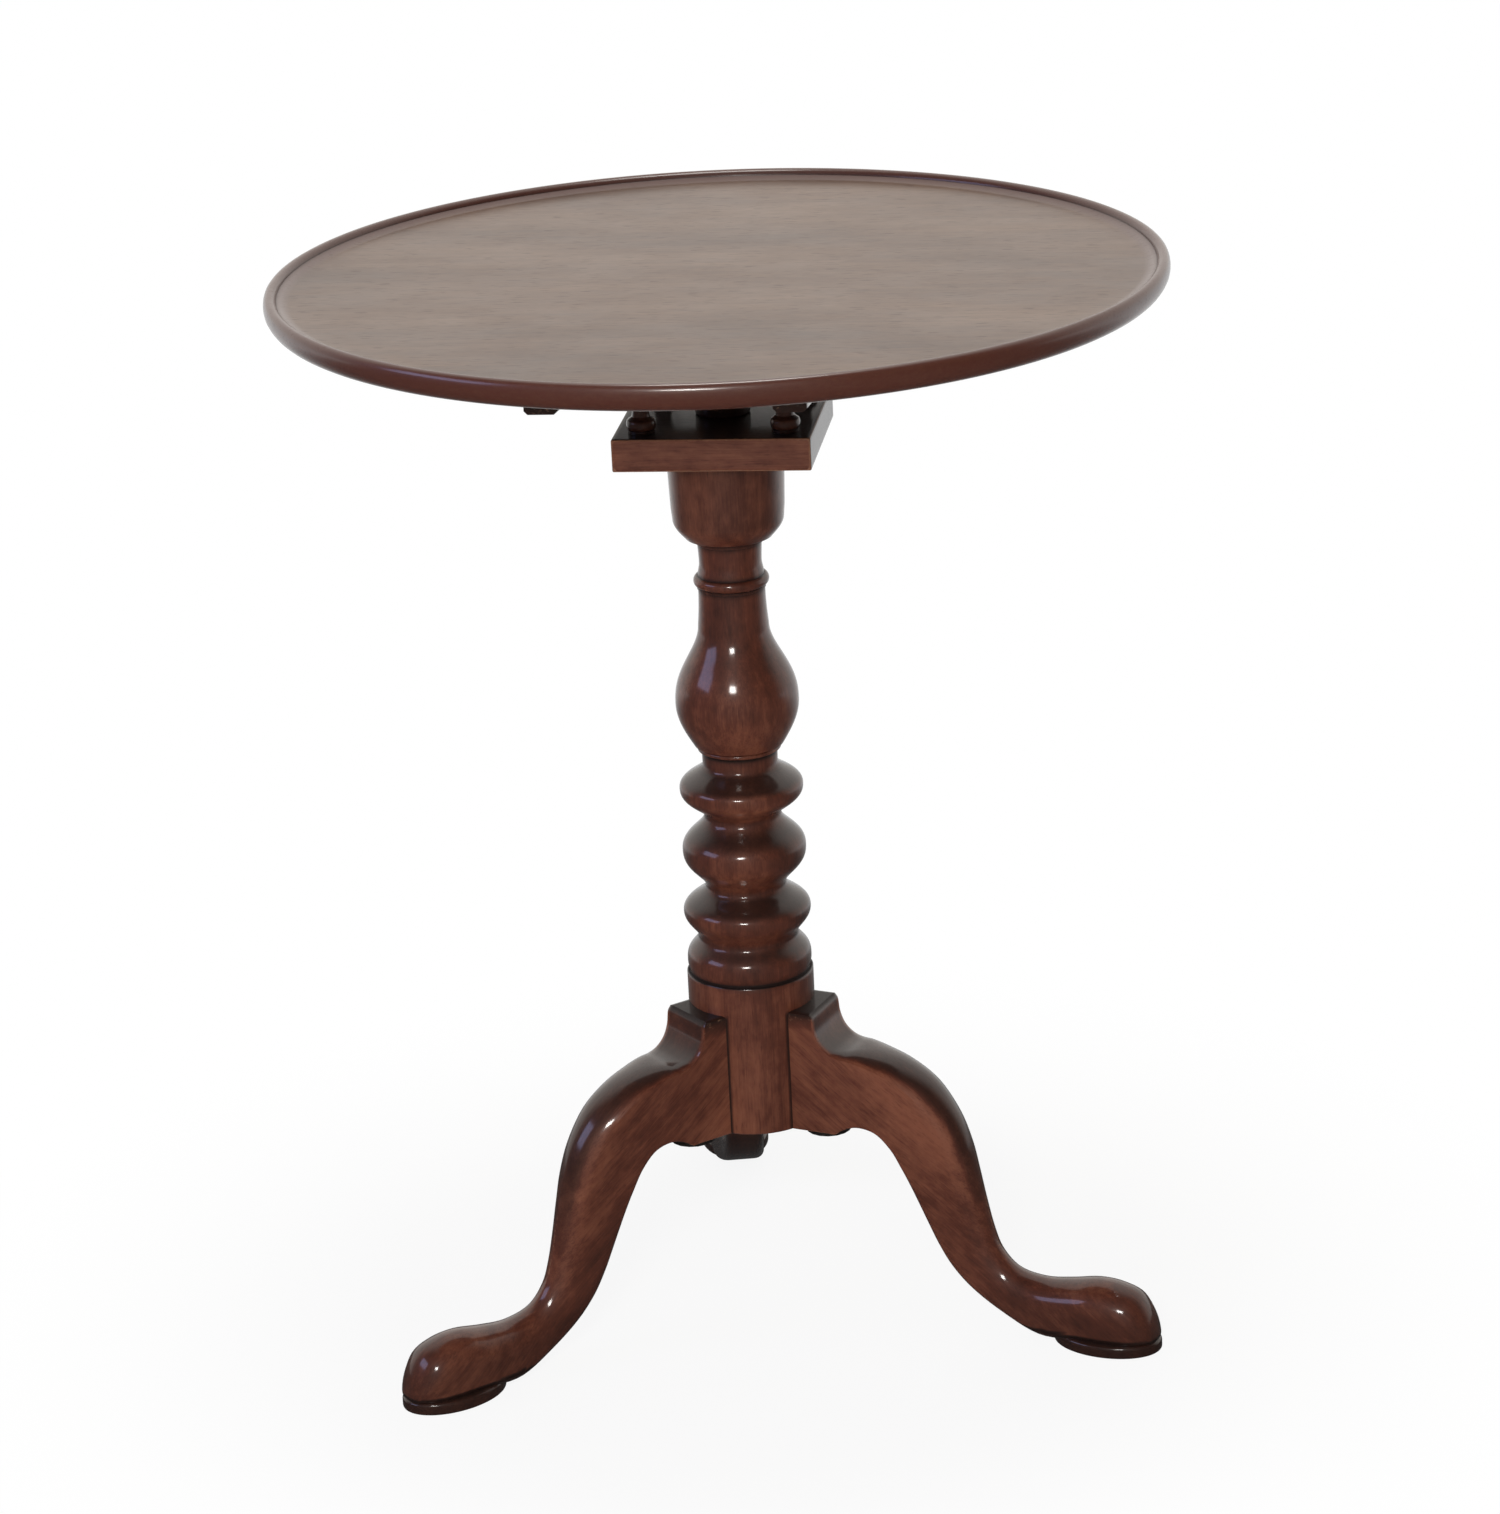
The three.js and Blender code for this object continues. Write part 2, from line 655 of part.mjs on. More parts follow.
// A nail's hole, without its head, which lies below the brace.
function nailHole() {
  const radius = NAIL_SHANK_RADIUS + SEAT_GAP;
  const neck = NAIL_LENGTH - NAIL_POINT;
  const tip = NAIL_LENGTH + SEAT_GAP;
  return turned([[0, -SEAT_GAP], [radius, -SEAT_GAP], [radius, neck], [0, tip]], NAIL_SIDES);
}

// Collar and wedge

function collarBody() {
  const inner = SHAFT_RADIUS + SEAT_GAP;
  const edge = Math.min(COLLAR_EDGE, (COLLAR_RADIUS - inner) / 2);
  const outline = [
    [inner, collarZ],
    [COLLAR_RADIUS - edge / 2, collarZ],
    [COLLAR_RADIUS, collarZ + edge / 2],
    [COLLAR_RADIUS, collarTopZ - edge],
    [COLLAR_RADIUS - edge, collarTopZ],
    [inner, collarTopZ],
    [inner, collarZ],
  ];
  return turned(outline, SHAFT_SIDES);
}

function wedgeBody() {
  const half = WEDGE_LENGTH / 2;
  const round = WEDGE_HEAD_ROUND;
  const outline = [
    [-half, wedgeZ],
    [half - round, wedgeZ],
    [half, wedgeZ + round],
    [half, wedgeTop(half) - round],
    [half - round, wedgeTop(half - round)],
    [-half, wedgeTop(-half)],
  ];
  return drawnAlongX(outline, -WEDGE_THICKNESS / 2, WEDGE_THICKNESS / 2).rotateZ(-Math.PI / 2);
}

// Birdcage

const colonnettePlace = plateHalf - COLONNETTE_INSET;
const colonnettePlaces = [[-1, -1], [1, -1], [1, 1], [-1, 1]].map(([x, y]) => [
  x * colonnettePlace, y * colonnettePlace,
]);

// Radius and height of the colonnette's stations, against its radius and its length between the plates.
const COLONNETTE_SHARES = {
  base: [0.9, 0],
  baseTop: [0.9, 0.035],
  bead: [1, 0.16],
  quirk: [0.62, 0.19],
  neck: [0.56, 0.25],
  swell: [0.9, 0.42],
  waist: [0.58, 0.68],
  ringRoot: [0.6, 0.73],
  ring: [0.84, 0.8],
  flare: [0.62, 0.83],
  head: [0.95, 0.965],
  headTop: [0.95, 1],
};

function colonnetteBody() {
  const from = lowerPlateTopZ + SEAT_GAP;
  const to = upperPlateZ - SEAT_GAP;
  const at = placed(COLONNETTE_SHARES, ([radius, height]) => [
    radius * COLONNETTE_RADIUS, from + height * (to - from),
  ]);
  const outline = [
    [0, from - TENON_LENGTH],
    [TENON_RADIUS, from - TENON_LENGTH],
    [TENON_RADIUS, from],
    at.base,
    at.baseTop,
    ...bead(at.baseTop[0], at.bead[0], at.baseTop[1], at.bead[1]).slice(1),
    at.quirk,
    at.neck,
    ...ease(at.neck, at.swell),
    ...ease(at.swell, at.waist),
    at.ringRoot,
    ...bead(at.ringRoot[0], at.ring[0], at.ringRoot[1], at.ring[1]).slice(1),
    at.flare,
    ...ease(at.flare, at.head),
    at.headTop,
    [TENON_RADIUS, to],
    [TENON_RADIUS, to + TENON_LENGTH],
    [0, to + TENON_LENGTH],
  ];
  return turned(outline, COLONNETTE_SIDES);
}

function tenonHole(from, to) {
  return rod(TENON_RADIUS + SEAT_GAP, from, to, COLONNETTE_SIDES);
}

// A square plate's section in the YZ plane, its upper front edge rounded where the top swings past.
function plateSection(from, to, frontRound) {
  const arris = PLATE_ARRIS;
  const points = [
    [arris - plateHalf, from],
    [plateHalf - arris, from],
    [plateHalf, from + arris],
    [plateHalf, to - arris],
    [plateHalf - arris, to],
  ];
  const steps = frontRound > arris ? ARC_STEPS : 1;
  for (let i = 0; i <= steps; i += 1) {
    const angle = Math.PI / 2 * (1 + i / steps);
    points.push([
      frontRound - plateHalf + frontRound * Math.cos(angle),
      to - frontRound + frontRound * Math.sin(angle),
    ]);
  }
  points.push([-plateHalf, from + arris]);
  return points;
}

function lowerPlateBody() {
  const plate = solid(drawnAlongX(
    plateSection(lowerPlateZ, lowerPlateTopZ, PLATE_ARRIS), -plateHalf, plateHalf,
  ));
  const bore = rod(SHAFT_RADIUS + RUNNING_GAP, lowerPlateZ - OVERRUN, lowerPlateTopZ + OVERRUN, SHAFT_SIDES);
  const sockets = colonnettePlaces.map(([x, y]) => tenonHole(
    lowerPlateTopZ - TENON_LENGTH, lowerPlateTopZ + OVERRUN,
  ).translate(x, y, 0));
  return [bore, ...sockets].reduce((body, cutter) => body.subtract(solid(cutter)), plate);
}

const boltTopZ = boardZ - SEAT_GAP - CASE_THICKNESS - BOLT_DROP;
const boltZ = boltTopZ - BOLT_HEIGHT / 2;

function pocket(width, height, depth) {
  const length = depth + OVERRUN;
  return box(width, length, height).translate(0, plateHalf - depth + length / 2, boltZ);
}

const strikeSlotWidth = BOLT_WIDTH + STRIKE_CLEARANCE * 2;
const strikeSlotHeight = BOLT_HEIGHT + STRIKE_CLEARANCE * 2;
const strikeScrewX = STRIKE_WIDTH / 2 - STRIKE_SCREW_INSET;

// Points a fastener that was made point up towards -Y, its head's face on a plane across Y.
function pointedForward(geometry, x, y, z) {
  return geometry.rotateX(Math.PI / 2).translate(x, y, z);
}

function strikeScrewHoles() {
  return [-1, 1].map((side) => pointedForward(smallScrewHole(), side * strikeScrewX, plateHalf, boltZ));
}

function upperPlateBody() {
  const plate = solid(drawnAlongX(
    plateSection(upperPlateZ, upperPlateTopZ, PINTLE_INSET), -plateHalf, plateHalf,
  ));
  const pintleReach = bearerInner + PINTLE_LENGTH;
  const pintles = rod(PINTLE_RADIUS, -pintleReach, pintleReach, SHAFT_SIDES)
    .rotateY(Math.PI / 2).translate(0, hingeY, hingeZ);
  const bore = rod(
    JOURNAL_RADIUS + RUNNING_GAP, upperPlateZ - OVERRUN, upperPlateTopZ + OVERRUN, SHAFT_SIDES,
  );
  const sockets = colonnettePlaces.map(([x, y]) => tenonHole(
    upperPlateZ - OVERRUN, upperPlateZ + TENON_LENGTH,
  ).translate(x, y, 0));
  const recess = pocket(
    STRIKE_WIDTH + SEAT_GAP * 2, STRIKE_HEIGHT + SEAT_GAP * 2, STRIKE_THICKNESS + SEAT_GAP,
  );
  const boltPocket = pocket(strikeSlotWidth, strikeSlotHeight, STRIKE_POCKET);
  return [bore, ...sockets, recess, boltPocket, ...strikeScrewHoles()]
    .reduce((body, cutter) => body.subtract(solid(cutter)), plate.add(solid(pintles)));
}

// Strike

function smallScrew() {
  return screw(
    SMALL_HEAD_RADIUS, SMALL_HEAD_HEIGHT, SMALL_SHANK_RADIUS,
    SMALL_HEAD_HEIGHT + SMALL_SCREW_BITE, SMALL_SLOT, SMALL_SLOT_DEPTH,
  );
}

function smallScrewHole() {
  return screwHole(
    SMALL_HEAD_RADIUS, SMALL_HEAD_HEIGHT, SMALL_SHANK_RADIUS, SMALL_HEAD_HEIGHT + SMALL_SCREW_BITE,
  );
}

function strikeBody() {
  const plate = box(STRIKE_WIDTH, STRIKE_THICKNESS, STRIKE_HEIGHT)
    .translate(0, plateHalf - STRIKE_THICKNESS / 2, boltZ);
  const slot = pocket(strikeSlotWidth, strikeSlotHeight, STRIKE_POCKET);
  return [slot, ...strikeScrewHoles()].reduce((body, cutter) => body.subtract(solid(cutter)), solid(plate));
}

// Top

// The board's edge as radius shares of the rim's width or undercut, and height shares of the whole edge.
const RIM_SHARES = {
  underCurve: [[1, 0], [0.6, 0.06], [0.25, 0.22], [0.04, 0.46], [0, 0.68], [0.08, 0.9]],
  crest: [[0.2, 1], [0.36, 0.985]],
  inner: [[0.5, 0.91], [0.57, 0.78], [0.8, 0.71]],
};

function boardOutline() {
  const edge = BOARD_THICKNESS + RIM_RISE;
  const under = RIM_SHARES.underCurve.map(([across, up]) => [
    TOP_RADIUS - across * RIM_UNDERCUT, boardZ + up * edge,
  ]);
  const upper = [...RIM_SHARES.crest, ...RIM_SHARES.inner].map(([across, up]) => [
    TOP_RADIUS - across * RIM_WIDTH, boardZ + up * edge,
  ]);
  return [[0, boardZ], ...under, ...upper, [TOP_RADIUS - RIM_WIDTH, floorZ], [0, floorZ]];
}

const bearerScrewYs = [-1, 0, 1].map((side) => side * BEARER_SCREW_SHARE * (bearerHalf - BEARER_TAPER));
const bearerScrewLength = BEARER_DEPTH + SEAT_GAP - BEARER_SCREW_RECESS + BEARER_SCREW_BITE;
const bearerScrewZ = bearerTopZ - BEARER_DEPTH + BEARER_SCREW_RECESS;
const bearerScrewPlaces = [-1, 1].flatMap((side) => bearerScrewYs.map((y) => [side * bearerX, y]));

function bearerScrewHole() {
  return screwHole(SCREW_HEAD_RADIUS, SCREW_HEAD_HEIGHT, SCREW_SHANK_RADIUS, bearerScrewLength);
}

// Counterbore from the bearer's underside to the sunk head of a screw.
function bearerCounterbore() {
  return rod(SCREW_HEAD_RADIUS + SEAT_GAP, -BEARER_SCREW_RECESS - OVERRUN, 0, SCREW_SIDES);
}

const caseY = plateHalf + CASE_OFFSET;
const caseTopZ = boardZ - SEAT_GAP;
const caseZ = caseTopZ - CASE_THICKNESS;
const caseScrewYs = [CASE_SCREW_INSET, CASE_LENGTH - CASE_SCREW_INSET].map((y) => caseY + y);
const caseScrewX = CASE_WIDTH / 2 - CASE_SCREW_INSET;
const caseScrewPlaces = [-1, 1].flatMap((side) => caseScrewYs.map((y) => [side * caseScrewX, y]));

function boardBody() {
  const bearerHoles = bearerScrewPlaces.map(([x, y]) => bearerScrewHole().translate(x, y, bearerScrewZ));
  const caseHoles = caseScrewPlaces.map(([x, y]) => smallScrewHole().translate(x, y, caseZ));
  return [...bearerHoles, ...caseHoles]
    .reduce((body, hole) => body.subtract(solid(hole)), solid(turned(boardOutline(), TOP_SIDES)));
}

function bearerRing(y, depth) {
  const half = BEARER_WIDTH / 2;
  const low = bearerTopZ - depth;
  return [
    [-half, y, bearerTopZ],
    [half, y, bearerTopZ],
    [half, y, low + BEARER_CHAMFER],
    [half - BEARER_CHAMFER, y, low],
    [BEARER_CHAMFER - half, y, low],
    [-half, y, low + BEARER_CHAMFER],
  ];
}

function bearerBody(side) {
  const deep = bearerHalf - BEARER_TAPER;
  const bar = lofted([
    bearerRing(-bearerHalf, BEARER_END_DEPTH),
    bearerRing(-deep, BEARER_DEPTH),
    bearerRing(deep, BEARER_DEPTH),
    bearerRing(bearerHalf, BEARER_END_DEPTH),
  ]).translate(side * bearerX, 0, 0);
  const reach = bearerInner + PINTLE_LENGTH + SEAT_GAP;
  const ends = [side * reach, side * (bearerInner - OVERRUN)].sort((p, q) => p - q);
  const pintleHole = rod(PINTLE_RADIUS + RUNNING_GAP, ends[0], ends[1], SHAFT_SIDES)
    .rotateY(Math.PI / 2).translate(0, hingeY, hingeZ);
  const holes = bearerScrewYs.flatMap((y) => [bearerScrewHole(), bearerCounterbore()].map(
    (hole) => hole.translate(side * bearerX, y, bearerScrewZ),
  ));
  return [pintleHole, ...holes].reduce((body, cutter) => body.subtract(solid(cutter)), solid(bar));
}

// Catch

const guideWidth = BOLT_WIDTH + (BOLT_GAP + GUIDE_WALL) * 2;
const guideDrop = BOLT_DROP + BOLT_HEIGHT + BOLT_GAP + GUIDE_WALL;
const guideMiddle = GUIDE_INSET + GUIDE_LENGTH / 2;
const guideYs = [caseY + guideMiddle, caseY + CASE_LENGTH - guideMiddle];

function caseBody() {
  const plate = solid(box(CASE_WIDTH, CASE_LENGTH, CASE_THICKNESS)
    .translate(0, caseY + CASE_LENGTH / 2, caseZ + CASE_THICKNESS / 2));
  const loopHeight = guideDrop + CASE_THICKNESS;
  const loops = guideYs.map((y) => box(guideWidth, GUIDE_LENGTH, loopHeight)
    .translate(0, y, caseTopZ - loopHeight / 2));
  const channelHeight = BOLT_DROP + BOLT_HEIGHT + BOLT_GAP;
  const channel = box(BOLT_WIDTH + BOLT_GAP * 2, CASE_LENGTH, channelHeight)
    .translate(0, caseY + CASE_LENGTH / 2, caseZ - channelHeight / 2);
  const withLoops = loops.reduce((body, loop) => body.add(solid(loop)), plate).subtract(solid(channel));
  return caseScrewPlaces.reduce(
    (body, [x, y]) => body.subtract(solid(smallScrewHole().translate(x, y, caseZ))), withLoops,
  );
}

const boltTipY = plateHalf + BOLT_STANDOFF;
const boltEndY = caseY + CASE_LENGTH - GUIDE_INSET + BOLT_TAIL;
const knobY = (guideYs[0] + guideYs[1] + BOLT_TRAVEL) / 2;

function boltBody() {
  const length = boltEndY - boltTipY;
  const bar = box(BOLT_WIDTH, length, BOLT_HEIGHT).translate(0, boltTipY + length / 2, boltZ);
  const holeTop = boltTopZ - BOLT_HEIGHT + KNOB_TENON + SEAT_GAP;
  const hole = rod(KNOB_STEM + SEAT_GAP, boltZ - BOLT_HEIGHT, holeTop, SCREW_SIDES).translate(0, knobY, 0);
  return solid(bar).subtract(solid(hole));
}

// Radius and height of the knob's stations, from its face to its root.
const KNOB_SHARES = [
  [0.6, 0.04], [0.92, 0.2], [1, 0.36], [0.84, 0.52], [0.42, 0.66], [0.42, 0.82], [0.62, 1],
];

function knobBody() {
  const root = boltZ - BOLT_HEIGHT / 2 - SEAT_GAP;
  const tip = root - KNOB_HEIGHT;
  const outline = [
    [0, tip],
    ...KNOB_SHARES.map(([radius, height]) => [radius * KNOB_RADIUS, tip + height * KNOB_HEIGHT]),
    [KNOB_STEM, root],
    [KNOB_STEM, root + KNOB_TENON],
    [0, root + KNOB_TENON],
  ];
  return turned(outline, SHAFT_SIDES).translate(0, knobY, 0);
}

// A bowed leaf between the case and the bolt, low in the middle and high at its ends.
function springBody() {
  const half = (guideYs[1] - guideYs[0] - GUIDE_LENGTH) / 2 - SEAT_GAP;
  const middle = (guideYs[0] + guideYs[1]) / 2;
  const high = caseZ - SPRING_END_GAP;
  const low = boltTopZ + SEAT_GAP + SPRING_THICKNESS;
  const steps = ARC_STEPS * 2;
  const upper = [];
  const lower = [];
  for (let i = 0; i <= steps; i += 1) {
    const t = i / steps * 2 - 1;
    const z = low + (high - low) * t * t;
    upper.push([middle + half * t, z]);
    lower.unshift([middle + half * t, z - SPRING_THICKNESS]);
  }
  return drawnAlongX([...upper, ...lower], -SPRING_WIDTH / 2, SPRING_WIDTH / 2);
}

// Assembly

const standTurn = THREE.MathUtils.degToRad(STAND_TURN);
const legNames = ['left', 'right', 'rear'];
const legAngles = [7 / 6, 11 / 6, 1 / 2].map((turn) => turn * Math.PI);
const nailReaches = [NAIL_INNER_SHARE, NAIL_OUTER_SHARE].map((share) => share * BRACE_REACH);

const candlestand = new THREE.Group();
const stand = new THREE.Group();
stand.rotation.z = standTurn;
candlestand.add(stand);

const innerHoles = legAngles.map((angle) => nailHole().translate(nailReaches[0], 0, nailZ).rotateZ(angle));
const outerHole = nailHole().translate(nailReaches[1], 0, nailZ);
const outerHoles = legAngles.map((angle) => outerHole.clone().rotateZ(angle));
stand.add(piece('pillar', pillarBody(innerHoles, legAngles), mahogany));
stand.add(piece('iron_brace', braceBody([...innerHoles, ...outerHoles], legAngles), iron));
const leg = geometryOf(legBody(outerHole));
legAngles.forEach((angle, i) => {
  const legGroup = new THREE.Group();
  legGroup.rotation.z = angle;
  legGroup.add(piece(`leg_${legNames[i]}`, leg, mahogany));
  nailReaches.forEach((reach, k) => {
    const fastener = piece(`brace_nail_${legNames[i]}_${k + 1}`, nail(), iron);
    fastener.position.set(reach, 0, nailZ);
    legGroup.add(fastener);
  });
  stand.add(legGroup);
});

candlestand.add(piece('collar', collarBody(), mahogany));
candlestand.add(piece('wedge', wedgeBody(), paleMahogany));

candlestand.add(piece('birdcage_lower_plate', lowerPlateBody(), mahogany));
candlestand.add(piece('birdcage_upper_plate', upperPlateBody(), mahogany));
colonnettePlaces.forEach(([x, y], i) => {
  const colonnette = piece(`colonnette_${i + 1}`, colonnetteBody(), mahogany);
  colonnette.position.set(x, y, 0);
  candlestand.add(colonnette);
});
candlestand.add(piece('strike_plate', strikeBody(), brass));
[-1, 1].forEach((side, i) => {
  const fastener = pointedForward(smallScrew(), side * strikeScrewX, plateHalf, boltZ);
  candlestand.add(piece(`strike_screw_${i + 1}`, fastener, brass));
});

candlestand.add(piece('top_board', boardBody(), topMahogany));
candlestand.add(piece('bearer_left', bearerBody(-1), mahogany));
candlestand.add(piece('bearer_right', bearerBody(1), mahogany));
bearerScrewPlaces.forEach(([x, y], i) => {
  const body = screw(
    SCREW_HEAD_RADIUS, SCREW_HEAD_HEIGHT, SCREW_SHANK_RADIUS, bearerScrewLength,
    SCREW_SLOT, SCREW_SLOT_DEPTH,
  );
  const fastener = piece(`bearer_screw_${i + 1}`, body, steel);
  fastener.position.set(x, y, bearerScrewZ);
  candlestand.add(fastener);
});

candlestand.add(piece('catch_case', caseBody(), brass));
candlestand.add(piece('catch_bolt', boltBody(), brass));
candlestand.add(piece('catch_knob', knobBody(), brass));
candlestand.add(piece('catch_spring', springBody(), steel));
caseScrewPlaces.forEach(([x, y], i) => {
  const fastener = piece(`catch_screw_${i + 1}`, smallScrew(), brass);
  fastener.position.set(x, y, caseZ);
  candlestand.add(fastener);
});

export default candlestand;
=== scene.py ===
"""Looks of a mahogany tilt-top candlestand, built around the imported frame.

Lengths are in millimetres while a piece is on the bench, and in metres once it is fitted. The origin is on
the floor at the pillar's axis, X is the hinge's direction and -Y the front.
"""

import logging
import math
from collections.abc import Callable, Iterable, Sequence
from dataclasses import dataclass, field
from enum import Enum
from typing import Any

import bmesh
import bpy
import numpy as np
from bmesh.types import BMEdge, BMVert
from mathutils import Matrix, Vector


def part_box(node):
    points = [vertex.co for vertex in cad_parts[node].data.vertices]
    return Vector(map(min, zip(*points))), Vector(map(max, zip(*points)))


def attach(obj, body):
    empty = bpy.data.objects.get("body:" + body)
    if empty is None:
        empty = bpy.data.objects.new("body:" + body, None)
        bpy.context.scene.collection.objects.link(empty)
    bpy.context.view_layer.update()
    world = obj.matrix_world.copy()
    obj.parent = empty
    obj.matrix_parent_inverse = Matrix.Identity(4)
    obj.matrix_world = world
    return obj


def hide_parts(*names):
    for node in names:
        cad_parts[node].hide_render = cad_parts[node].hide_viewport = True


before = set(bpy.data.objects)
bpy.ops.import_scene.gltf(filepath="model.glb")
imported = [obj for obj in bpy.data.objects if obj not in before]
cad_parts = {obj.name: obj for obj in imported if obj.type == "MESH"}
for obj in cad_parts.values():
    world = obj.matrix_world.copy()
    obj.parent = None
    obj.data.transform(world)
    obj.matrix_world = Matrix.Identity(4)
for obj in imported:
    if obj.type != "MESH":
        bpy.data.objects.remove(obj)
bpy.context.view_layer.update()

log = logging.getLogger("candlestand")

Point = tuple[float, float]
Colour = tuple[float, float, float]
Shade = float | Callable[[np.ndarray], np.ndarray]

TO_METRES = 0.001
IMAGE_SIDE = 1514
STAND_TURN = 12.2
LEG_ANGLES = {"left": 210 + STAND_TURN, "right": 330 + STAND_TURN, "rear": 90 + STAND_TURN}
# Painted light on each leg's sides, the most on the right leg.
LEG_SIDE_LIGHT = {"left": 0.2, "right": 0.4, "rear": 0.0}
GLOSS_IOR = 1.5
WOOD_RELIEF = 0.00012
METAL_RELIEF = 0.0004
PLANK_STEP = (0.37, 0.61, 0.83)
PLANK_ROUND = 1.7


class Body(Enum):
    """The frame's bodies."""

    STAND = "stand"
    WEDGE = "wedge"
    BIRDCAGE = "birdcage"
    TOP = "top"
    BOLT = "catch_bolt"


class Slot(Enum):
    """The record's material slots."""

    MAHOGANY = "mahogany"
    TOP = "top_mahogany"
    PALE = "pale_mahogany"
    BRASS = "brass"
    STEEL = "steel"
    IRON = "wrought_iron"


class Grain(Enum):
    """The way a plank's fibres run."""

    ALONG_X = (1, 2, 0)
    ALONG_Y = (2, 0, 1)
    ALONG_Z = (0, 1, 2)


def rgb(red: int, green: int, blue: int) -> Colour:
    """Gives a screen colour, 0 to 255, in the shader's linear light."""
    shares = (c / 255 for c in (red, green, blue))
    return tuple(c / 12.92 if c <= 0.04045 else ((c + 0.055) / 1.055) ** 2.4 for c in shares)


# Shader maths


class Value:
    """A socket's value, which works in arithmetic."""

    def __init__(self, bench: "ShaderBench", socket: bpy.types.NodeSocket) -> None:
        """Wraps a socket of a bench's tree."""
        self.bench = bench
        self.socket = socket

    def maths(self, operation: str, *others: Any) -> "Value":
        """Joins values by a Math node's operation."""
        return self.bench.node("ShaderNodeMath", {"operation": operation}, dict(enumerate((self, *others))))

    def __add__(self, other: Any) -> "Value":
        """Adds."""
        return self.maths("ADD", other)

    __radd__ = __add__

    def __sub__(self, other: Any) -> "Value":
        """Subtracts."""
        return self.maths("SUBTRACT", other)

    def __rsub__(self, other: Any) -> "Value":
        """Subtracts from a number."""
        return self.bench.node("ShaderNodeMath", {"operation": "SUBTRACT"}, {0: other, 1: self})

    def __mul__(self, other: Any) -> "Value":
        """Multiplies."""
        return self.maths("MULTIPLY", other)

    __rmul__ = __mul__

    def least(self, other: Any) -> "Value":
        """Takes the smaller of two."""
        return self.maths("MINIMUM", other)

    def most(self, other: Any) -> "Value":
        """Takes the larger of two."""
        return self.maths("MAXIMUM", other)

    def rise(self, low: float, high: float) -> "Value":
        """Goes smoothly from 0 at one value to 1 at another, which may be below it."""
        sockets = {"Value": self, "From Min": low, "From Max": high}
        return self.bench.node("ShaderNodeMapRange", {"interpolation_type": "SMOOTHSTEP"}, sockets)


class ShaderBench:
    """A material's or the world's node tree, on which values are laid out."""

    def __init__(self, tree: bpy.types.NodeTree) -> None:
        """Empties a tree."""
        self.tree = tree
        tree.nodes.clear()

    def node(
        self,
        kind: str,
        settings: dict[str, Any] | None = None,
        sockets: dict[str | int, Any] | None = None,
        out: str | int = 0,
    ) -> Value:
        """Adds a node.

        Args:
            kind: The node's type.
            settings: What is set on the node first; "stops" holds a ramp's places and colours.
            sockets: Values or links of its inputs, by name or number.
            out: The output that is wanted.

        Returns:
            That output's value.
        """
        made = self.tree.nodes.new(kind)
        for name, setting in (settings or {}).items():
            if name == "stops":
                self._set_stops(made.color_ramp, setting)
            else:
                setattr(made, name, setting)
        for name, given in (sockets or {}).items():
            if isinstance(given, Value):
                self.tree.links.new(given.socket, made.inputs[name])
            elif isinstance(given, tuple) and made.inputs[name].type == "RGBA":
                made.inputs[name].default_value = (*given, 1)
            else:
                made.inputs[name].default_value = given
        return Value(self, made.outputs[out]) if made.outputs else Value(self, None)

    @staticmethod
    def _set_stops(ramp: bpy.types.ColorRamp, stops: Sequence[tuple[float, Colour]]) -> None:
        """Sets a ramp's places and colours."""
        while len(ramp.elements) < len(stops):
            ramp.elements.new(0.5)
        for element, (place, colour) in zip(ramp.elements, stops):
            element.position, element.color = place, (*colour, 1)

    def blend(self, share: Any, first: Any, second: Any) -> Value:
        """Mixes two colours or their links by a share of the second, 0 to 1."""
        return self.node("ShaderNodeMix", {"data_type": "RGBA"}, {0: share, 6: first, 7: second}, out=2)

    def noise(
        self, place: Value, across: float, along: float, shift: float, detail: float = 2, rough: float = 0.5
    ) -> Value:
        """Gives a soft random pattern between 0 and 1.

        Args:
            place: The coordinates, in metres.
            across: Cells per metre across the fibres.
            along: Cells per metre along them.
            shift: Moves the pattern, so that two of them differ.
            detail: Number of finer layers.
            rough: How strong the finer layers are.

        Returns:
            The pattern, about 0.5 on average.
        """
        moved = {0: place, 1: (across, across, along), 2: (shift, shift * 0.7, shift * 1.3)}
        cells = self.node("ShaderNodeVectorMath", {"operation": "MULTIPLY_ADD"}, moved)
        sockets = {"Vector": cells, "Scale": 1.0, "Detail": detail, "Roughness": rough}
        return self.node("ShaderNodeTexNoise", {}, sockets, out="Fac")

    def painted(self, name: str) -> Value:
        """Reads a number that the piece's vertices carry."""
        return self.node("ShaderNodeAttribute", {"attribute_name": name}, out="Fac")

    def ray(self, kind: str) -> Value:
        """Tells whether a ray is of a kind, such as a camera ray."""
        return self.node("ShaderNodeLightPath", {}, {}, out=kind)

    def plank(self) -> Value:
        """Reads the place in the plank that a piece was cut from, its fibres along the third number."""
        return self.node("ShaderNodeAttribute", {"attribute_name": "plank"}, out="Vector")

    def finish(self, sockets: dict[str, Any], height: Value, depth: float, strength: float) -> None:
        """Ends a material in a Principled shader with a fine relief.

        Args:
            sockets: Values or links of the shader's inputs.
            height: The relief's pattern, 0 to 1.
            depth: Metres from 0 to 1.
            strength: Share of the relief that is seen.
        """
        normal = self.node("ShaderNodeBump", {}, {"Strength": strength, "Distance": depth, "Height": height})
        shader = self.node("ShaderNodeBsdfPrincipled", {}, {**sockets, "Normal": normal})
        self.node("ShaderNodeOutputMaterial", {}, {"Surface": shader})


def new_material(name: str) -> tuple[bpy.types.Material, ShaderBench]:
    """Makes an empty material and the bench for its nodes."""
    material = bpy.data.materials.new(name)
    material.use_nodes = True
    return material, ShaderBench(material.node_tree)


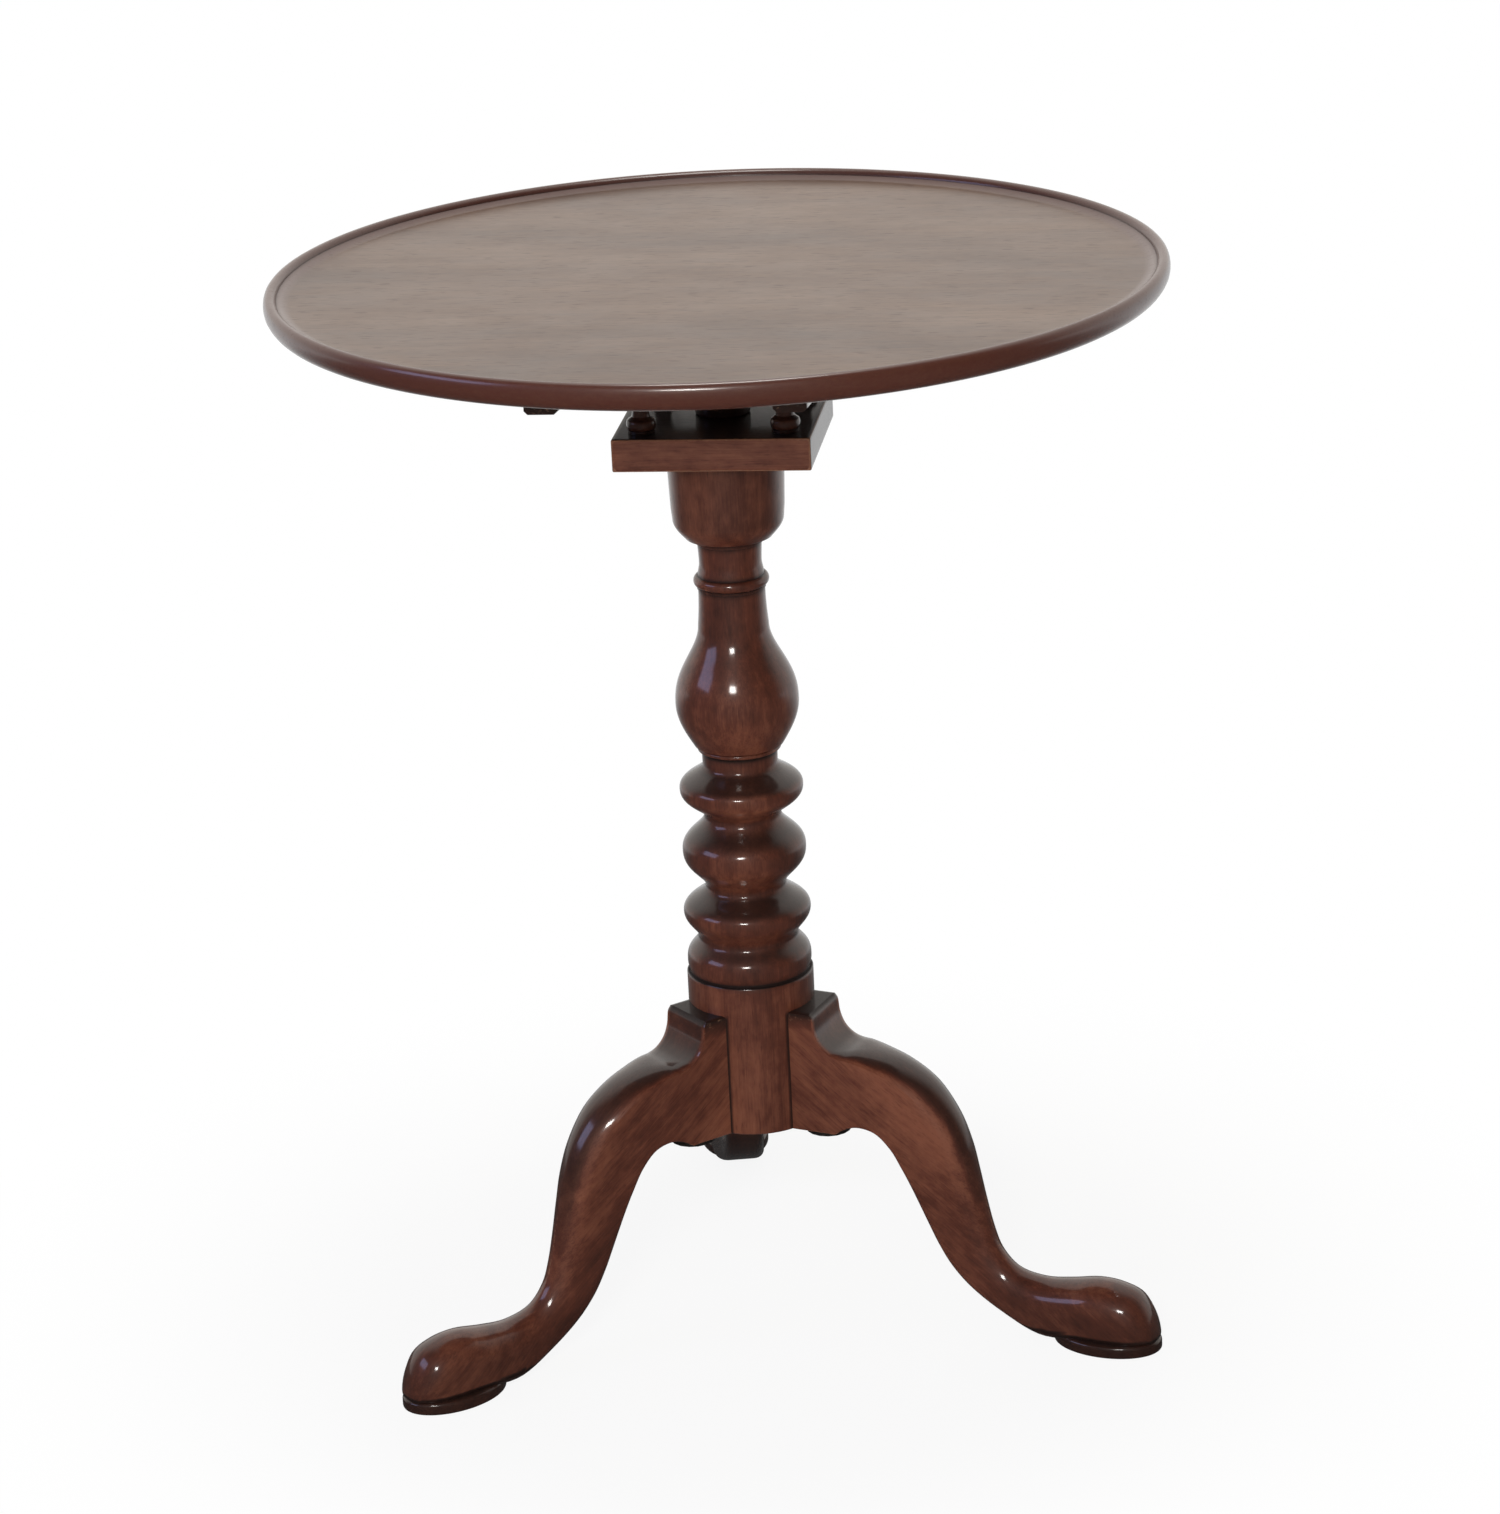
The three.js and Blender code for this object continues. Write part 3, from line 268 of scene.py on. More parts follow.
@dataclass(frozen=True)
class WoodFinish:
    """Old polished wood: figure, pores, hollow dirt and painted shade, painted light, pale worn arrises."""

    name: str
    dark: Colour
    ground: Colour
    light: Colour
    # The colour of painted shade, and of real stains where the shade number marks them.
    shade: Colour = rgb(34, 19, 14)
    # The colour that hollow dirt and painted deep shade go to.
    grime_and_shade_tone: Colour = rgb(24, 12, 9)
    worn: Colour = rgb(150, 112, 86)
    figure: float = 0.4
    streaks: float = 0.3
    mottle: float = 0.45
    pores: float = 0.3
    pore: tuple[float, float] = (1500, 120)
    specks: float = 0.4
    roughness: float = 0.5
    level: float = 0.22
    coat: float = 0.85
    coat_roughness: float = 0.13
    shaded_coat: float = 0.0
    relief: float = 0.3

    def material(self) -> bpy.types.Material:
        """Lays out the finish as nodes."""
        material, bench = new_material(self.name)
        plank = bench.plank()
        hollow, wear, shade = (bench.painted(name) for name in ("hollow", "wear", "shade"))
        drift = bench.noise(plank, 16, 5, 3.1)
        bands = bench.noise(plank, 70, 5, 1.7, detail=3, rough=0.6)
        streaks = bench.noise(plank, 420, 14, 5.3, detail=3, rough=0.65)
        fibres = bench.noise(plank, 1500, 60, 7.9)
        mottle = bench.noise(plank, 130, 75, 6.7, detail=3, rough=0.62)
        pores = bench.noise(plank, *self.pore, 9.2, detail=1).rise(0.6, 0.7)
        spots = bench.noise(plank, 420, 300, 2.3, detail=3, rough=0.7)
        figure = (bands - 0.5) * self.figure + (streaks - 0.5) * self.streaks + (fibres - 0.5) * 0.25
        # A shade number below 0 lightens the tone: painted light on the legs' sides and on faces that look
        # down, a plain lightening on the drum and the plate's edges.
        lightened = (0 - shade).most(0.0)
        tone = (figure + (drift - 0.5) * 0.9 + (mottle - 0.5) * self.mottle) * 1.2 + lightened * 0.4 + 0.5
        stops = ((0.12, self.dark), (0.5, self.ground), (0.88, self.light))
        colour = bench.node("ShaderNodeValToRGB", {"stops": stops}, {0: tone}, out="Color")
        colour = bench.blend(pores * self.pores, colour, self.dark)
        rubbed = (wear * (spots * 1.4 + 0.2)).rise(0.3, 1.0) * 0.4
        colour = bench.blend(rubbed, colour, self.light)
        # Shade numbers from 0 to 1 blend to the shade colour, as painted shade and real stains; above 1 they
        # add painted deep shade and grime.
        stain_and_shade, grime_and_deep_shade = shade.most(0.0).least(1.0), (shade - 1).most(0.0)
        colour = bench.blend(stain_and_shade * (spots * 0.4 + 0.75), colour, self.shade)
        # Dirt and painted shade in the hollows, with the deeper shade number, blend to the darkest colour.
        dirt_and_shade = ((spots * 0.9 + 0.45) * (hollow + grime_and_deep_shade)).least(0.88)
        colour = bench.blend(dirt_and_shade, colour, self.grime_and_shade_tone)
        chips = (wear + spots * 1.15).rise(1.22, 1.42) * self.specks
        colour = bench.blend(chips, colour, self.worn)
        smear = bench.noise(plank, 32, 22, 6.1, detail=3)
        rough = (smear - 0.5) * 0.2 + self.roughness + pores * 0.1 + hollow * 0.15 + grime_and_deep_shade * 0.3
        dulled = (hollow * 0.5 + grime_and_deep_shade).least(0.9)
        coat = (stain_and_shade * self.shaded_coat + self.coat) * (1 - dulled) * (1 - chips)
        height = fibres * 0.3 + streaks * 0.3 + mottle * 0.5 - pores * 0.5
        sockets = {"Base Color": colour, "Roughness": rough, "Specular IOR Level": self.level}
        sockets |= {"Coat Weight": coat, "Coat Roughness": self.coat_roughness}
        sockets |= {"IOR": GLOSS_IOR, "Coat IOR": GLOSS_IOR}
        bench.finish(sockets, height, WOOD_RELIEF, self.relief)
        return material


@dataclass(frozen=True)
class MetalFinish:
    """Aged metal: a dull skin over brighter metal that shows where it is rubbed."""

    name: str
    skin: Colour
    bright: Colour
    dirt: Colour
    metallic: float = 1.0
    roughness: float = 0.38
    pitted: float = 0.3
    hammered: float = 0.0

    def material(self) -> bpy.types.Material:
        """Lays out the finish as nodes."""
        material, bench = new_material(self.name)
        plank, hollow, wear = bench.plank(), bench.painted("hollow"), bench.painted("wear")
        cloud = bench.noise(plank, 160, 160, 1.3, detail=4, rough=0.6)
        pits = bench.noise(plank, 900, 900, 4.1).rise(0.56, 0.72)
        blows = bench.noise(plank, 110, 110, 8.3, detail=1)
        rubbed = (wear * 0.8 + cloud - 0.45).rise(0.1, 0.6)
        colour = bench.blend(rubbed, self.skin, self.bright)
        colour = bench.blend((hollow + pits * self.pitted).least(0.9), colour, self.dirt)
        rough = (1 - rubbed) * 0.22 + self.roughness - 0.08 + pits * 0.2
        metallic = (1 - hollow * 0.8) * self.metallic
        height = (1 - pits) * 0.3 + blows * self.hammered
        sockets = {"Base Color": colour, "Metallic": metallic, "Roughness": rough}
        bench.finish(sockets, height, METAL_RELIEF, 0.6)
        return material


FINISHES: dict[Slot, WoodFinish | MetalFinish] = {
    Slot.MAHOGANY: WoodFinish("mahogany", rgb(48, 24, 17), rgb(84, 43, 30), rgb(122, 72, 52)),
    Slot.TOP: WoodFinish(
        "top_mahogany",
        rgb(74, 52, 38),
        rgb(99, 72, 52),
        rgb(120, 93, 71),
        shade=rgb(78, 36, 24),
        figure=0.25,
        streaks=0.45,
        mottle=0.3,
        pores=0.55,
        pore=(620, 75),
        coat=0.45,
        coat_roughness=0.18,
        level=0.4,
        roughness=0.45,
        shaded_coat=0.45,
        relief=0.2,
    ),
    Slot.PALE: WoodFinish(
        "pale_mahogany", rgb(80, 45, 30), rgb(128, 78, 54), rgb(160, 108, 78), coat=0.1, roughness=0.55
    ),
    Slot.BRASS: MetalFinish("brass", rgb(120, 86, 44), rgb(190, 150, 82), rgb(48, 34, 20), roughness=0.36),
    Slot.STEEL: MetalFinish(
        "steel", rgb(70, 64, 60), rgb(132, 126, 120), rgb(46, 28, 20), roughness=0.42, pitted=0.6
    ),
    Slot.IRON: MetalFinish(
        "wrought_iron",
        rgb(26, 24, 24),
        rgb(62, 58, 56),
        rgb(44, 24, 16),
        metallic=0.75,
        roughness=0.55,
        pitted=0.5,
        hammered=1.0,
    ),
}


# The bench


def risen(start: Point, end: Point, steps: int, shape: Callable[[float], float]) -> list[Point]:
    """Goes from one point to another in even steps of height.

    Args:
        start: Radius and height to leave, which isn't repeated.
        end: Radius and height to reach.
        steps: Number of points.
        shape: Gives the share of the radius's change at a share of the height.

    Returns:
        The points after the start.
    """
    (r0, z0), (r1, z1) = start, end
    shares = [i / steps for i in range(1, steps + 1)]
    return [(r0 + (r1 - r0) * shape(t), z0 + (z1 - z0) * t) for t in shares]


def eased(start: Point, end: Point, fullness: float = 1.0, steps: int = 14) -> list[Point]:
    """Eases between two radii; a fullness above 1 keeps the wide end wide for longer."""
    if start[0] > end[0]:
        return risen(start, end, steps, lambda t: (1 - math.cos(math.pi * t**fullness)) / 2)
    return risen(start, end, steps, lambda t: (1 + math.cos(math.pi * (1 - t) ** fullness)) / 2)


def swelled(start: Point, end: Point, steps: int = 12) -> list[Point]:
    """Swells from one point to another, level with the axis at the second."""
    return risen(start, end, steps, lambda t: math.sin(t * math.pi / 2))


def bowed(start: Point, end: Point, hollow: float, steps: int) -> list[Point]:
    """Draws a line that is hollow at its middle by a length."""
    share = hollow / (end[0] - start[0])
    return risen(start, end, steps, lambda t: t - share * math.sin(math.pi * t))


def beaded(root: float, radius: float, low: float, high: float, steps: int = 10) -> list[Point]:
    """Draws a half-round bead that stands out of a root, from its lower edge to its upper one."""
    middle, half = (low + high) / 2, (high - low) / 2
    turns = [math.pi * i / steps for i in range(steps + 1)]
    return [(root + (radius - root) * math.sin(a), middle - half * math.cos(a)) for a in turns]


def cornered(centre: Point, radius: float, first: float, last: float, steps: int = 5) -> list[Point]:
    """Draws an arc about a centre, between two angles in degrees."""
    turns = [math.radians(first + (last - first) * i / steps) for i in range(steps + 1)]
    return [(centre[0] + radius * math.cos(a), centre[1] + radius * math.sin(a)) for a in turns]


def spaced(outline: Sequence[Point], most: float) -> list[Point]:
    """Adds points to an outline's long straight parts.

    Args:
        outline: The points.
        most: The longest part that stays whole.

    Returns:
        The outline with its added points.
    """
    points = [outline[0]]
    for (r0, z0), (r1, z1) in zip(outline, outline[1:]):
        parts = max(1, math.ceil(math.hypot(r1 - r0, z1 - z0) / most))
        points += [(r0 + (r1 - r0) * i / parts, z0 + (z1 - z0) * i / parts) for i in range(1, parts + 1)]
    return points


class Blank:
    """A piece on the bench, in millimetres."""

    def __init__(self) -> None:
        """Starts with nothing on the bench."""
        self.bm = bmesh.new()

    def _added(self, count: int) -> list[BMVert]:
        """Lists the vertices made since there were that many."""
        self.bm.verts.ensure_lookup_table()
        return list(self.bm.verts)[count:]

    def move(self, verts: Iterable[BMVert], matrix: Matrix) -> None:
        """Puts vertices in another place."""
        bmesh.ops.transform(self.bm, matrix=matrix, verts=list(verts))

    def turn(self, outline: Sequence[Point], sides: int, matrix: Matrix | None = None) -> list[BMVert]:
        """Turns an outline about the Z axis, as on a lathe.

        Args:
            outline: Radius and height of its points.
            sides: Number of sides.
            matrix: Where the turned part goes.

        Returns:
            Its vertices.
        """
        count = len(self.bm.verts)
        verts = [self.bm.verts.new((r, 0, z)) for r, z in outline]
        edges = [self.bm.edges.new(pair) for pair in zip(verts, verts[1:])]
        lathe = {"cent": (0, 0, 0), "axis": (0, 0, 1), "angle": math.tau, "use_merge": True}
        bmesh.ops.spin(self.bm, geom=[*verts, *edges], steps=sides, **lathe)
        bmesh.ops.remove_doubles(self.bm, verts=self._added(count), dist=1e-3)
        made = self._added(count)
        if matrix:
            self.move(made, matrix)
        return made

    def block(self, low: Sequence[float], high: Sequence[float]) -> list[BMVert]:
        """Puts down a square block.

        Args:
            low: Its lowest corner.
            high: Its highest corner.

        Returns:
            Its vertices.
        """
        size = [b - a for a, b in zip(low, high)]
        middle = [(a + b) / 2 for a, b in zip(low, high)]
        matrix = Matrix.Translation(middle) @ Matrix.Diagonal((*size, 1))
        return bmesh.ops.create_cube(self.bm, size=1, matrix=matrix)["verts"]

    def loft(self, rings: Sequence[Sequence[Sequence[float]]]) -> list[BMVert]:
        """Skins a row of closed rings that have the same number of points.

        Args:
            rings: The rings, each a row of places.

        Returns:
            The skin's vertices.
        """
        count = len(self.bm.verts)
        ring = [self.bm.verts.new(place) for place in rings[0]]
        edges = [self.bm.edges.new(pair) for pair in zip(ring, ring[1:] + ring[:1])]
        self.bm.faces.new(ring)
        for places in rings[1:]:
            order = {vert: i for i, vert in enumerate(ring)}
            made = bmesh.ops.extrude_edge_only(self.bm, edges=edges)["geom"]
            edges = [e for e in made if isinstance(e, BMEdge) and not any(v in order for v in e.verts)]
            ring = [None] * len(ring)
            for vert in (v for v in made if isinstance(v, BMVert)):
                root = next(e.other_vert(vert) for e in vert.link_edges if e.other_vert(vert) in order)
                ring[order[root]] = vert
            for vert, place in zip(ring, places):
                vert.co = place
        self.bm.faces.new(ring)
        return self._added(count)

    def soften(self, verts: Iterable[BMVert], width: float, steps: int = 3, least_turn: float = 30) -> None:
        """Rounds the sharp edges between vertices.

        Args:
            verts: The vertices.
            width: Width of the rounding.
            steps: Number of its parts.
            least_turn: The bend in degrees from which an edge counts as sharp.
        """
        chosen, least = set(verts), math.radians(least_turn)
        sharp = [e for e in self.bm.edges if e.is_manifold and e.calc_face_angle(0) > least]
        edges = [e for e in sharp if set(e.verts) <= chosen]
        way = {"offset_type": "OFFSET", "affect": "EDGES", "profile": 0.5, "clamp_overlap": True}
        bmesh.ops.bevel(self.bm, geom=edges, offset=width, segments=steps, material=-1, **way)

    def score(self, axis: int, places: Iterable[float]) -> None:
        """Divides the faces where planes across an axis pass, without parting the piece.

        Args:
            axis: Number of the axis.
            places: Where the planes are.
        """
        for place in places:
            at, normal = Vector(), Vector()
            at[axis], normal[axis] = place, 1
            geometry = [*self.bm.verts, *self.bm.edges, *self.bm.faces]
            bmesh.ops.bisect_plane(self.bm, geom=geometry, dist=1e-4, plane_co=at, plane_no=normal)

    def take_node(self, node: str) -> None:
        """Copies a CAD node's shape, its loose triangles merged."""
        count = len(self.bm.verts)
        self.bm.from_mesh(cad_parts[node].data)
        verts = self._added(count)
        bmesh.ops.remove_doubles(self.bm, verts=verts, dist=1e-6)
        self.move(self._added(count), Matrix.Diagonal((1 / TO_METRES,) * 3).to_4x4())
        edges, verts = list(self.bm.edges), list(self.bm.verts)
        bmesh.ops.dissolve_limit(self.bm, angle_limit=math.radians(1), verts=verts, edges=edges)

    def carve(self, cutter: "Blank") -> None:
        """Takes another blank's shape out of this one, which uses that blank up."""
        pair = []
        for blank in (self, cutter):
            bmesh.ops.recalc_face_normals(blank.bm, faces=list(blank.bm.faces))
            mesh = bpy.data.meshes.new("bench")
            blank.bm.to_mesh(mesh)
            pair.append(bpy.data.objects.new("bench", mesh))
            bpy.context.scene.collection.objects.link(pair[-1])
        body, tool = pair
        knife = body.modifiers.new("knife", "BOOLEAN")
        knife.operation, knife.solver, knife.object = "DIFFERENCE", "EXACT", tool
        carved = body.evaluated_get(bpy.context.evaluated_depsgraph_get()).to_mesh()
        self.bm.clear()
        self.bm.from_mesh(carved)
        for thing in pair:
            mesh = thing.data
            bpy.data.objects.remove(thing)
            bpy.data.meshes.remove(mesh)
        cutter.bm.free()


def ramp(values: np.ndarray, start: float, end: float) -> np.ndarray:
    """Goes from 0 at one value to 1 at another, which may be below it."""
    return np.clip((values - start) / (end - start), 0, 1)


def spread(values: np.ndarray, edges: np.ndarray, rounds: int) -> np.ndarray:
    """Softens values over a mesh by averaging neighbours.

    Args:
        values: One number for each vertex.
        edges: Pairs of vertices.
        rounds: Number of passes.

    Returns:
        The softened values.
    """
    count = np.bincount(edges.ravel(), minlength=len(values)).clip(1)
    for _ in range(rounds):
        total = np.bincount(edges[:, 0], values[edges[:, 1]], len(values))
        total += np.bincount(edges[:, 1], values[edges[:, 0]], len(values))
        values = (values + total / count) / 2
    return values


@dataclass(frozen=True)
class Paint:
    """How a piece's plank, dirt, wear and shade are laid on.

    The grain is the fibres' direction, or the matrix from the stand to the plank. Hollow and wear are the
    bends, in turns per metre, that hold the most dirt and painted shade, and show the most wear; a smaller
    number gives more. Rounds is how far they spread. The shade darkens from 0 to 1, for painted shade and
    stains, darkens and dulls above 1, for deeper painted shade and grime, and lightens below 0, mostly as
    painted light: a number, or a function of places in millimetres. Sharp is the bend in degrees from which
    an edge looks sharp.
    """

    grain: Grain | Matrix = Grain.ALONG_Z
    hollow: float = 90
    wear: float = 700
    rounds: int = 5
    shade: Shade = 0.0
    sharp: float = 38


@dataclass
class Workshop:
    """Finishes blanks and fits them to the frame."""

    materials: dict[Slot, bpy.types.Material] = field(default_factory=dict)
    fitted: int = 0

    def __post_init__(self) -> None:
        """Mixes the finishes."""
        self.materials = {slot: finish.material() for slot, finish in FINISHES.items()}

    def fit(self, blank: Blank, name: str, body: Body, slot: Slot, paint: Paint = Paint()) -> None:
        """Makes a finished piece of a blank, which stands for the CAD node of its name.

        Args:
            blank: The shape, which is used up.
            name: The piece's name.
            body: The body that it moves with.
            slot: Its finish.
            paint: How the finish is laid on.
        """
        bm = blank.bm
        bmesh.ops.recalc_face_normals(bm, faces=list(bm.faces))
        bmesh.ops.scale(bm, vec=(TO_METRES,) * 3, verts=list(bm.verts))
        mesh = bpy.data.meshes.new(name)
        bm.to_mesh(mesh)
        bm.free()
        mesh.polygons.foreach_set("use_smooth", np.ones(len(mesh.polygons), bool))
        mesh.set_sharp_from_angle(angle=math.radians(paint.sharp))
        mesh.materials.append(self.materials[slot])
        self._lay_on(mesh, paint)
        piece = bpy.data.objects.new(name, mesh)
        bpy.context.scene.collection.objects.link(piece)
        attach(piece, body.value)
        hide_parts(name)
        self.fitted += 1
        log.info("%s: %d faces on %s", name, len(mesh.polygons), body.value)

    def fit_node(
        self,
        node: str,
        body: Body,
        slot: Slot,
        width: float = 0,
        least_turn: float = 40,
        paint: Paint = Paint(),
    ) -> None:
        """Fits a CAD node's own shape, with its arrises eased.

        Args:
            node: The CAD node.
            body: The body that it moves with.
            slot: Its finish.
            width: Width of the easing, if there is any.
            least_turn: The bend in degrees from which an edge is eased.
            paint: How the finish is laid on.
        """
        blank = Blank()
        blank.take_node(node)
        if width:
            blank.soften(blank.bm.verts, width, 2, least_turn)
        self.fit(blank, node, body, slot, paint)

    def _lay_on(self, mesh: bpy.types.Mesh, paint: Paint) -> None:
        """Gives a mesh, in metres, its plank, dirt, wear and shade."""
        count = len(mesh.vertices)
        place, normal = np.empty(count * 3, np.float32), np.empty(count * 3, np.float32)
        mesh.vertices.foreach_get("co", place)
        mesh.vertex_normals.foreach_get("vector", normal)
        edges = np.empty(len(mesh.edges) * 2, np.int32)
        mesh.edges.foreach_get("vertices", edges)
        place, normal, edges = place.reshape(-1, 3), normal.reshape(-1, 3), edges.reshape(-1, 2)
        along = place[edges[:, 1]] - place[edges[:, 0]]
        length = np.maximum(np.linalg.norm(along, axis=1), 1e-5)
        bend = np.zeros(count)
        for end, sign in ((0, 1), (1, -1)):
            rise = 2 * sign * np.einsum("ij,ij->i", along, normal[edges[:, end]]) / length**2
            np.add.at(bend, edges[:, end], rise)
        bend /= np.bincount(edges.ravel(), minlength=count).clip(1)
        bend = np.clip(bend, -4 * paint.wear, 4 * paint.hollow)
        shade = paint.shade(place / TO_METRES) if callable(paint.shade) else np.full(count, paint.shade)
        values = {
            "hollow": ramp(spread(np.maximum(bend, 0), edges, paint.rounds), 0, paint.hollow),
            "wear": ramp(spread(np.maximum(-bend, 0), edges, paint.rounds), 0, paint.wear),
            "shade": np.clip(shade, -1, 2),
        }
        for label, numbers in values.items():
            layer = mesh.attributes.new(label, "FLOAT", "POINT")
            layer.data.foreach_set("value", numbers.astype(np.float32))
        if isinstance(paint.grain, Grain):
            plank = place[:, paint.grain.value]
        else:
            plank = place @ np.array(paint.grain.to_3x3(), np.float32).T
        shift = np.array(PLANK_STEP) * (self.fitted + 1)
        layer = mesh.attributes.new("plank", "FLOAT_VECTOR", "POINT")
        layer.data.foreach_set("vector", (plank + shift % PLANK_ROUND).astype(np.float32).ravel())


# The stand


@dataclass
class Pillar:
    """The turned pillar, its drum, capital, shaft and journal."""

    foot: float = 130.0
    drum_top: float = 233.4
    turned_foot: float = 235.2
    turned_length: float = 290.2
    turned_radius: float = 41.6
    drum_radius: float = 41.5
    groove: float = 1.4
    capital_radius: float = 37.7
    capital_length: float = 63.2
    shaft_radius: float = 13.0
    journal_radius: float = 9.5
    journal_foot: float = 639.9
    journal_top: float = 684.5
    leg_half: float = 21.0
    leg_top: float = 214.0
    sides: int = 180
    mortise: tuple[float, float, float] = (3.9, 617.0, 632.4)
    cap_shares: Point = (0.978, 0.0165)
    ring_shares: tuple[tuple[float, float, float], ...] = (
        (0.784, 0.0765, 1.7),
        (1, 0.1371, 1.1),
        (0.631, 0.1978, 1.25),
        (0.968, 0.2839, 1.32),
        (0.604, 0.3646, 1.25),
        (0.966, 0.43, 1.3),
        (0.587, 0.4869, 1.2),
    )
    vase_foot_share: float = 0.5168
    rings_top_share: float = 0.83
    # Amounts of painted shade on the seams, upward faces and capital, painted light on the undersides, and
    # the drum's lightening.
    seam_dark: float = 1.9
    upside_dark: float = 0.85
    underside_light: float = 0.25
    drum_lightening: float = 0.35
    capital_dark: float = 0.35

    def _at(self, radius: float, height: float) -> Point:
        """Places a station of the turned part, given as shares of its radius and length."""
        return radius * self.turned_radius, self.turned_foot + height * self.turned_length

    def _drum(self) -> list[Point]:
        """Draws the drum where the legs meet and the groove above it."""
        r, top, deep = self.drum_radius, self.drum_top, self.groove
        return [
            (0, self.foot),
            (r - 0.8, self.foot),
            (r, self.foot + 0.8),
            (r, top - 1.1),
            (r - 0.4, top - 0.5),
            (r - deep, top - 0.2),
            (r - deep * 1.25, top + 0.8),
        ]

    def _rings(self) -> list[Point]:
        """Draws the cap of the base and the three rings above it, from waist to belly and back."""
        cap = self._at(*self.cap_shares)
        foot = (cap[0] - 0.9, self.turned_foot + 0.2)
        points = [foot, *swelled(foot, cap, 4)]
        for radius, height, fullness in self.ring_shares:
            points += eased(points[-1], self._at(radius, height), fullness)
        return points

    def _vase(self) -> list[Point]:
        """Draws the vase, the stem and the bead under the capital."""
        neck, bead = self._at(0.59, self.vase_foot_share), self._at(0.655, 0.5306)
        edge, wide = self._at(0.7, 0.5325), self._at(0.959, 0.6299)
        top, stem = self._at(0.5485, 0.8091), self._at(0.516, 0.8938)
        fillet, fillet_top = self._at(0.532, 0.8952), self._at(0.532, 0.9002)
        root, bead_top = self._at(0.515, 0.9008), self._at(0.585, 0.9249)
        waist, head = self._at(0.483, 0.9538), self._at(0.495, 1)
        return [
            neck,
            *beaded(neck[0], bead[0], neck[1], bead[1], 8)[1:],
            edge,
            *swelled(edge, wide, 22),
            *eased(wide, top, 1.2, 34),
            *bowed(top, stem, 0.3, 8),
            fillet,
            fillet_top,
            *beaded(root[0], bead_top[0], root[1], bead_top[1], 12),
            *eased((root[0] - 0.2, bead_top[1] + 0.3), waist, 1.0, 8),
            *eased(waist, head, 1.0, 8),
        ]

    def _capital(self) -> list[Point]:
        """Draws the capital, from its lip to its flat top."""
        foot = self.turned_foot + self.turned_length
        radius, length, shaft = self.capital_radius, self.capital_length, self.shaft_radius
        top = foot + length
        fillet, lip = radius * 0.583, (radius * 0.75, foot + length * 0.062)
        shoulder = (radius * 0.946, foot + length * 0.262)
        return [
            (fillet - 0.3, foot),
            (fillet, foot + 0.3),
            (fillet, lip[1] - 0.7),
            (fillet + 0.5, lip[1] - 0.2),
            (lip[0] - 0.6, lip[1]),
            (lip[0] - 0.1, lip[1] + 0.15),
            *swelled((lip[0], lip[1] + 0.4), shoulder, 18),
            (radius * 0.965, foot + length * 0.38),
            (radius, top - 0.9),
            (radius - 0.8, top),
            (shaft, top),
            (shaft, self.journal_foot - shaft + self.journal_radius),
            (self.journal_radius, self.journal_foot),
            (self.journal_radius, self.journal_top - 0.8),
            (self.journal_radius - 0.8, self.journal_top),
            (0, self.journal_top),
        ]

    def _outline(self) -> list[Point]:
        """Draws the whole pillar's outline."""
        return [*self._drum(), *self._rings(), *self._vase(), *self._capital()]

    def _facing(self, height: np.ndarray) -> np.ndarray:
        """Tells how far the turned outline looks up at each height: 1 at 45 degrees up, -1 as far down."""
        radius, level = np.array(self._outline()).T
        levels = np.arange(self.drum_top + 3, self.turned_foot + self.turned_length, 0.5)
        slope = np.gradient(np.interp(levels, level, radius), levels)
        return np.interp(height, levels, np.convolve(slope, np.ones(5) / -5, "same"), 0, 0)

    def _shade(self, place: np.ndarray) -> np.ndarray:
        """Paints shade on seams, grooves, up faces and under the birdcage, light on down faces; lightens the
        drum.
        """
        height, seam = place[:, 2], np.zeros(len(place))
        # Painted shade along the legs' joints with the drum, in the drum's groove and at the vase's foot.
        for angle in LEG_ANGLES.values():
            way = np.array([math.cos(math.radians(angle)), math.sin(math.radians(angle))])
            along, across = place[:, :2] @ way, np.abs(place[:, 0] * way[1] - place[:, 1] * way[0])
            near = ramp(np.abs(across - self.leg_half - 0.4), 1.8, 0)
            seam = np.maximum(seam, near * (along > 0) * (height < self.leg_top))
        for line in (self.drum_top + 0.2, self._at(0, self.vase_foot_share)[1]):
            seam = np.maximum(seam, np.clip(1.4 - np.abs(height - line) / 0.9, 0, 0.9))
        neck = self.turned_foot + self.turned_length
        # Painted shade on the turned faces that look up, painted light on those that look down.
        facing = self._facing(height) * (height < self._at(0, self.rings_top_share)[1])
        bands = ramp(facing, 0.5, 1.1) * self.upside_dark - ramp(facing, 0, -0.8) * self.underside_light
        # Lightens the drum below its groove.
        drum = ramp(height, self.drum_top, self.drum_top - 4) * self.drum_lightening
        # Painted shade on the capital's upper part and on the shaft under the birdcage.
        capital = ramp(height, neck + 6, neck + 18) * self.capital_dark
        hidden = height > neck + self.capital_length - 0.5
        return seam * self.seam_dark + bands + capital - drum + hidden

    def build(self, shop: Workshop) -> None:
        """Turns the pillar and cuts the wedge's mortise through its shaft."""
        blank, cutter = Blank(), Blank()
        blank.turn(spaced(self._outline(), 3.0), self.sides)
        half, low, high = self.mortise
        cutter.block((-half, -20, low), (half, 20, high))
        blank.carve(cutter)
        paint = Paint(hollow=260, wear=1200, rounds=3, shade=self._shade)
        shop.fit(blank, "pillar", Body.STAND, Slot.MAHOGANY, paint)


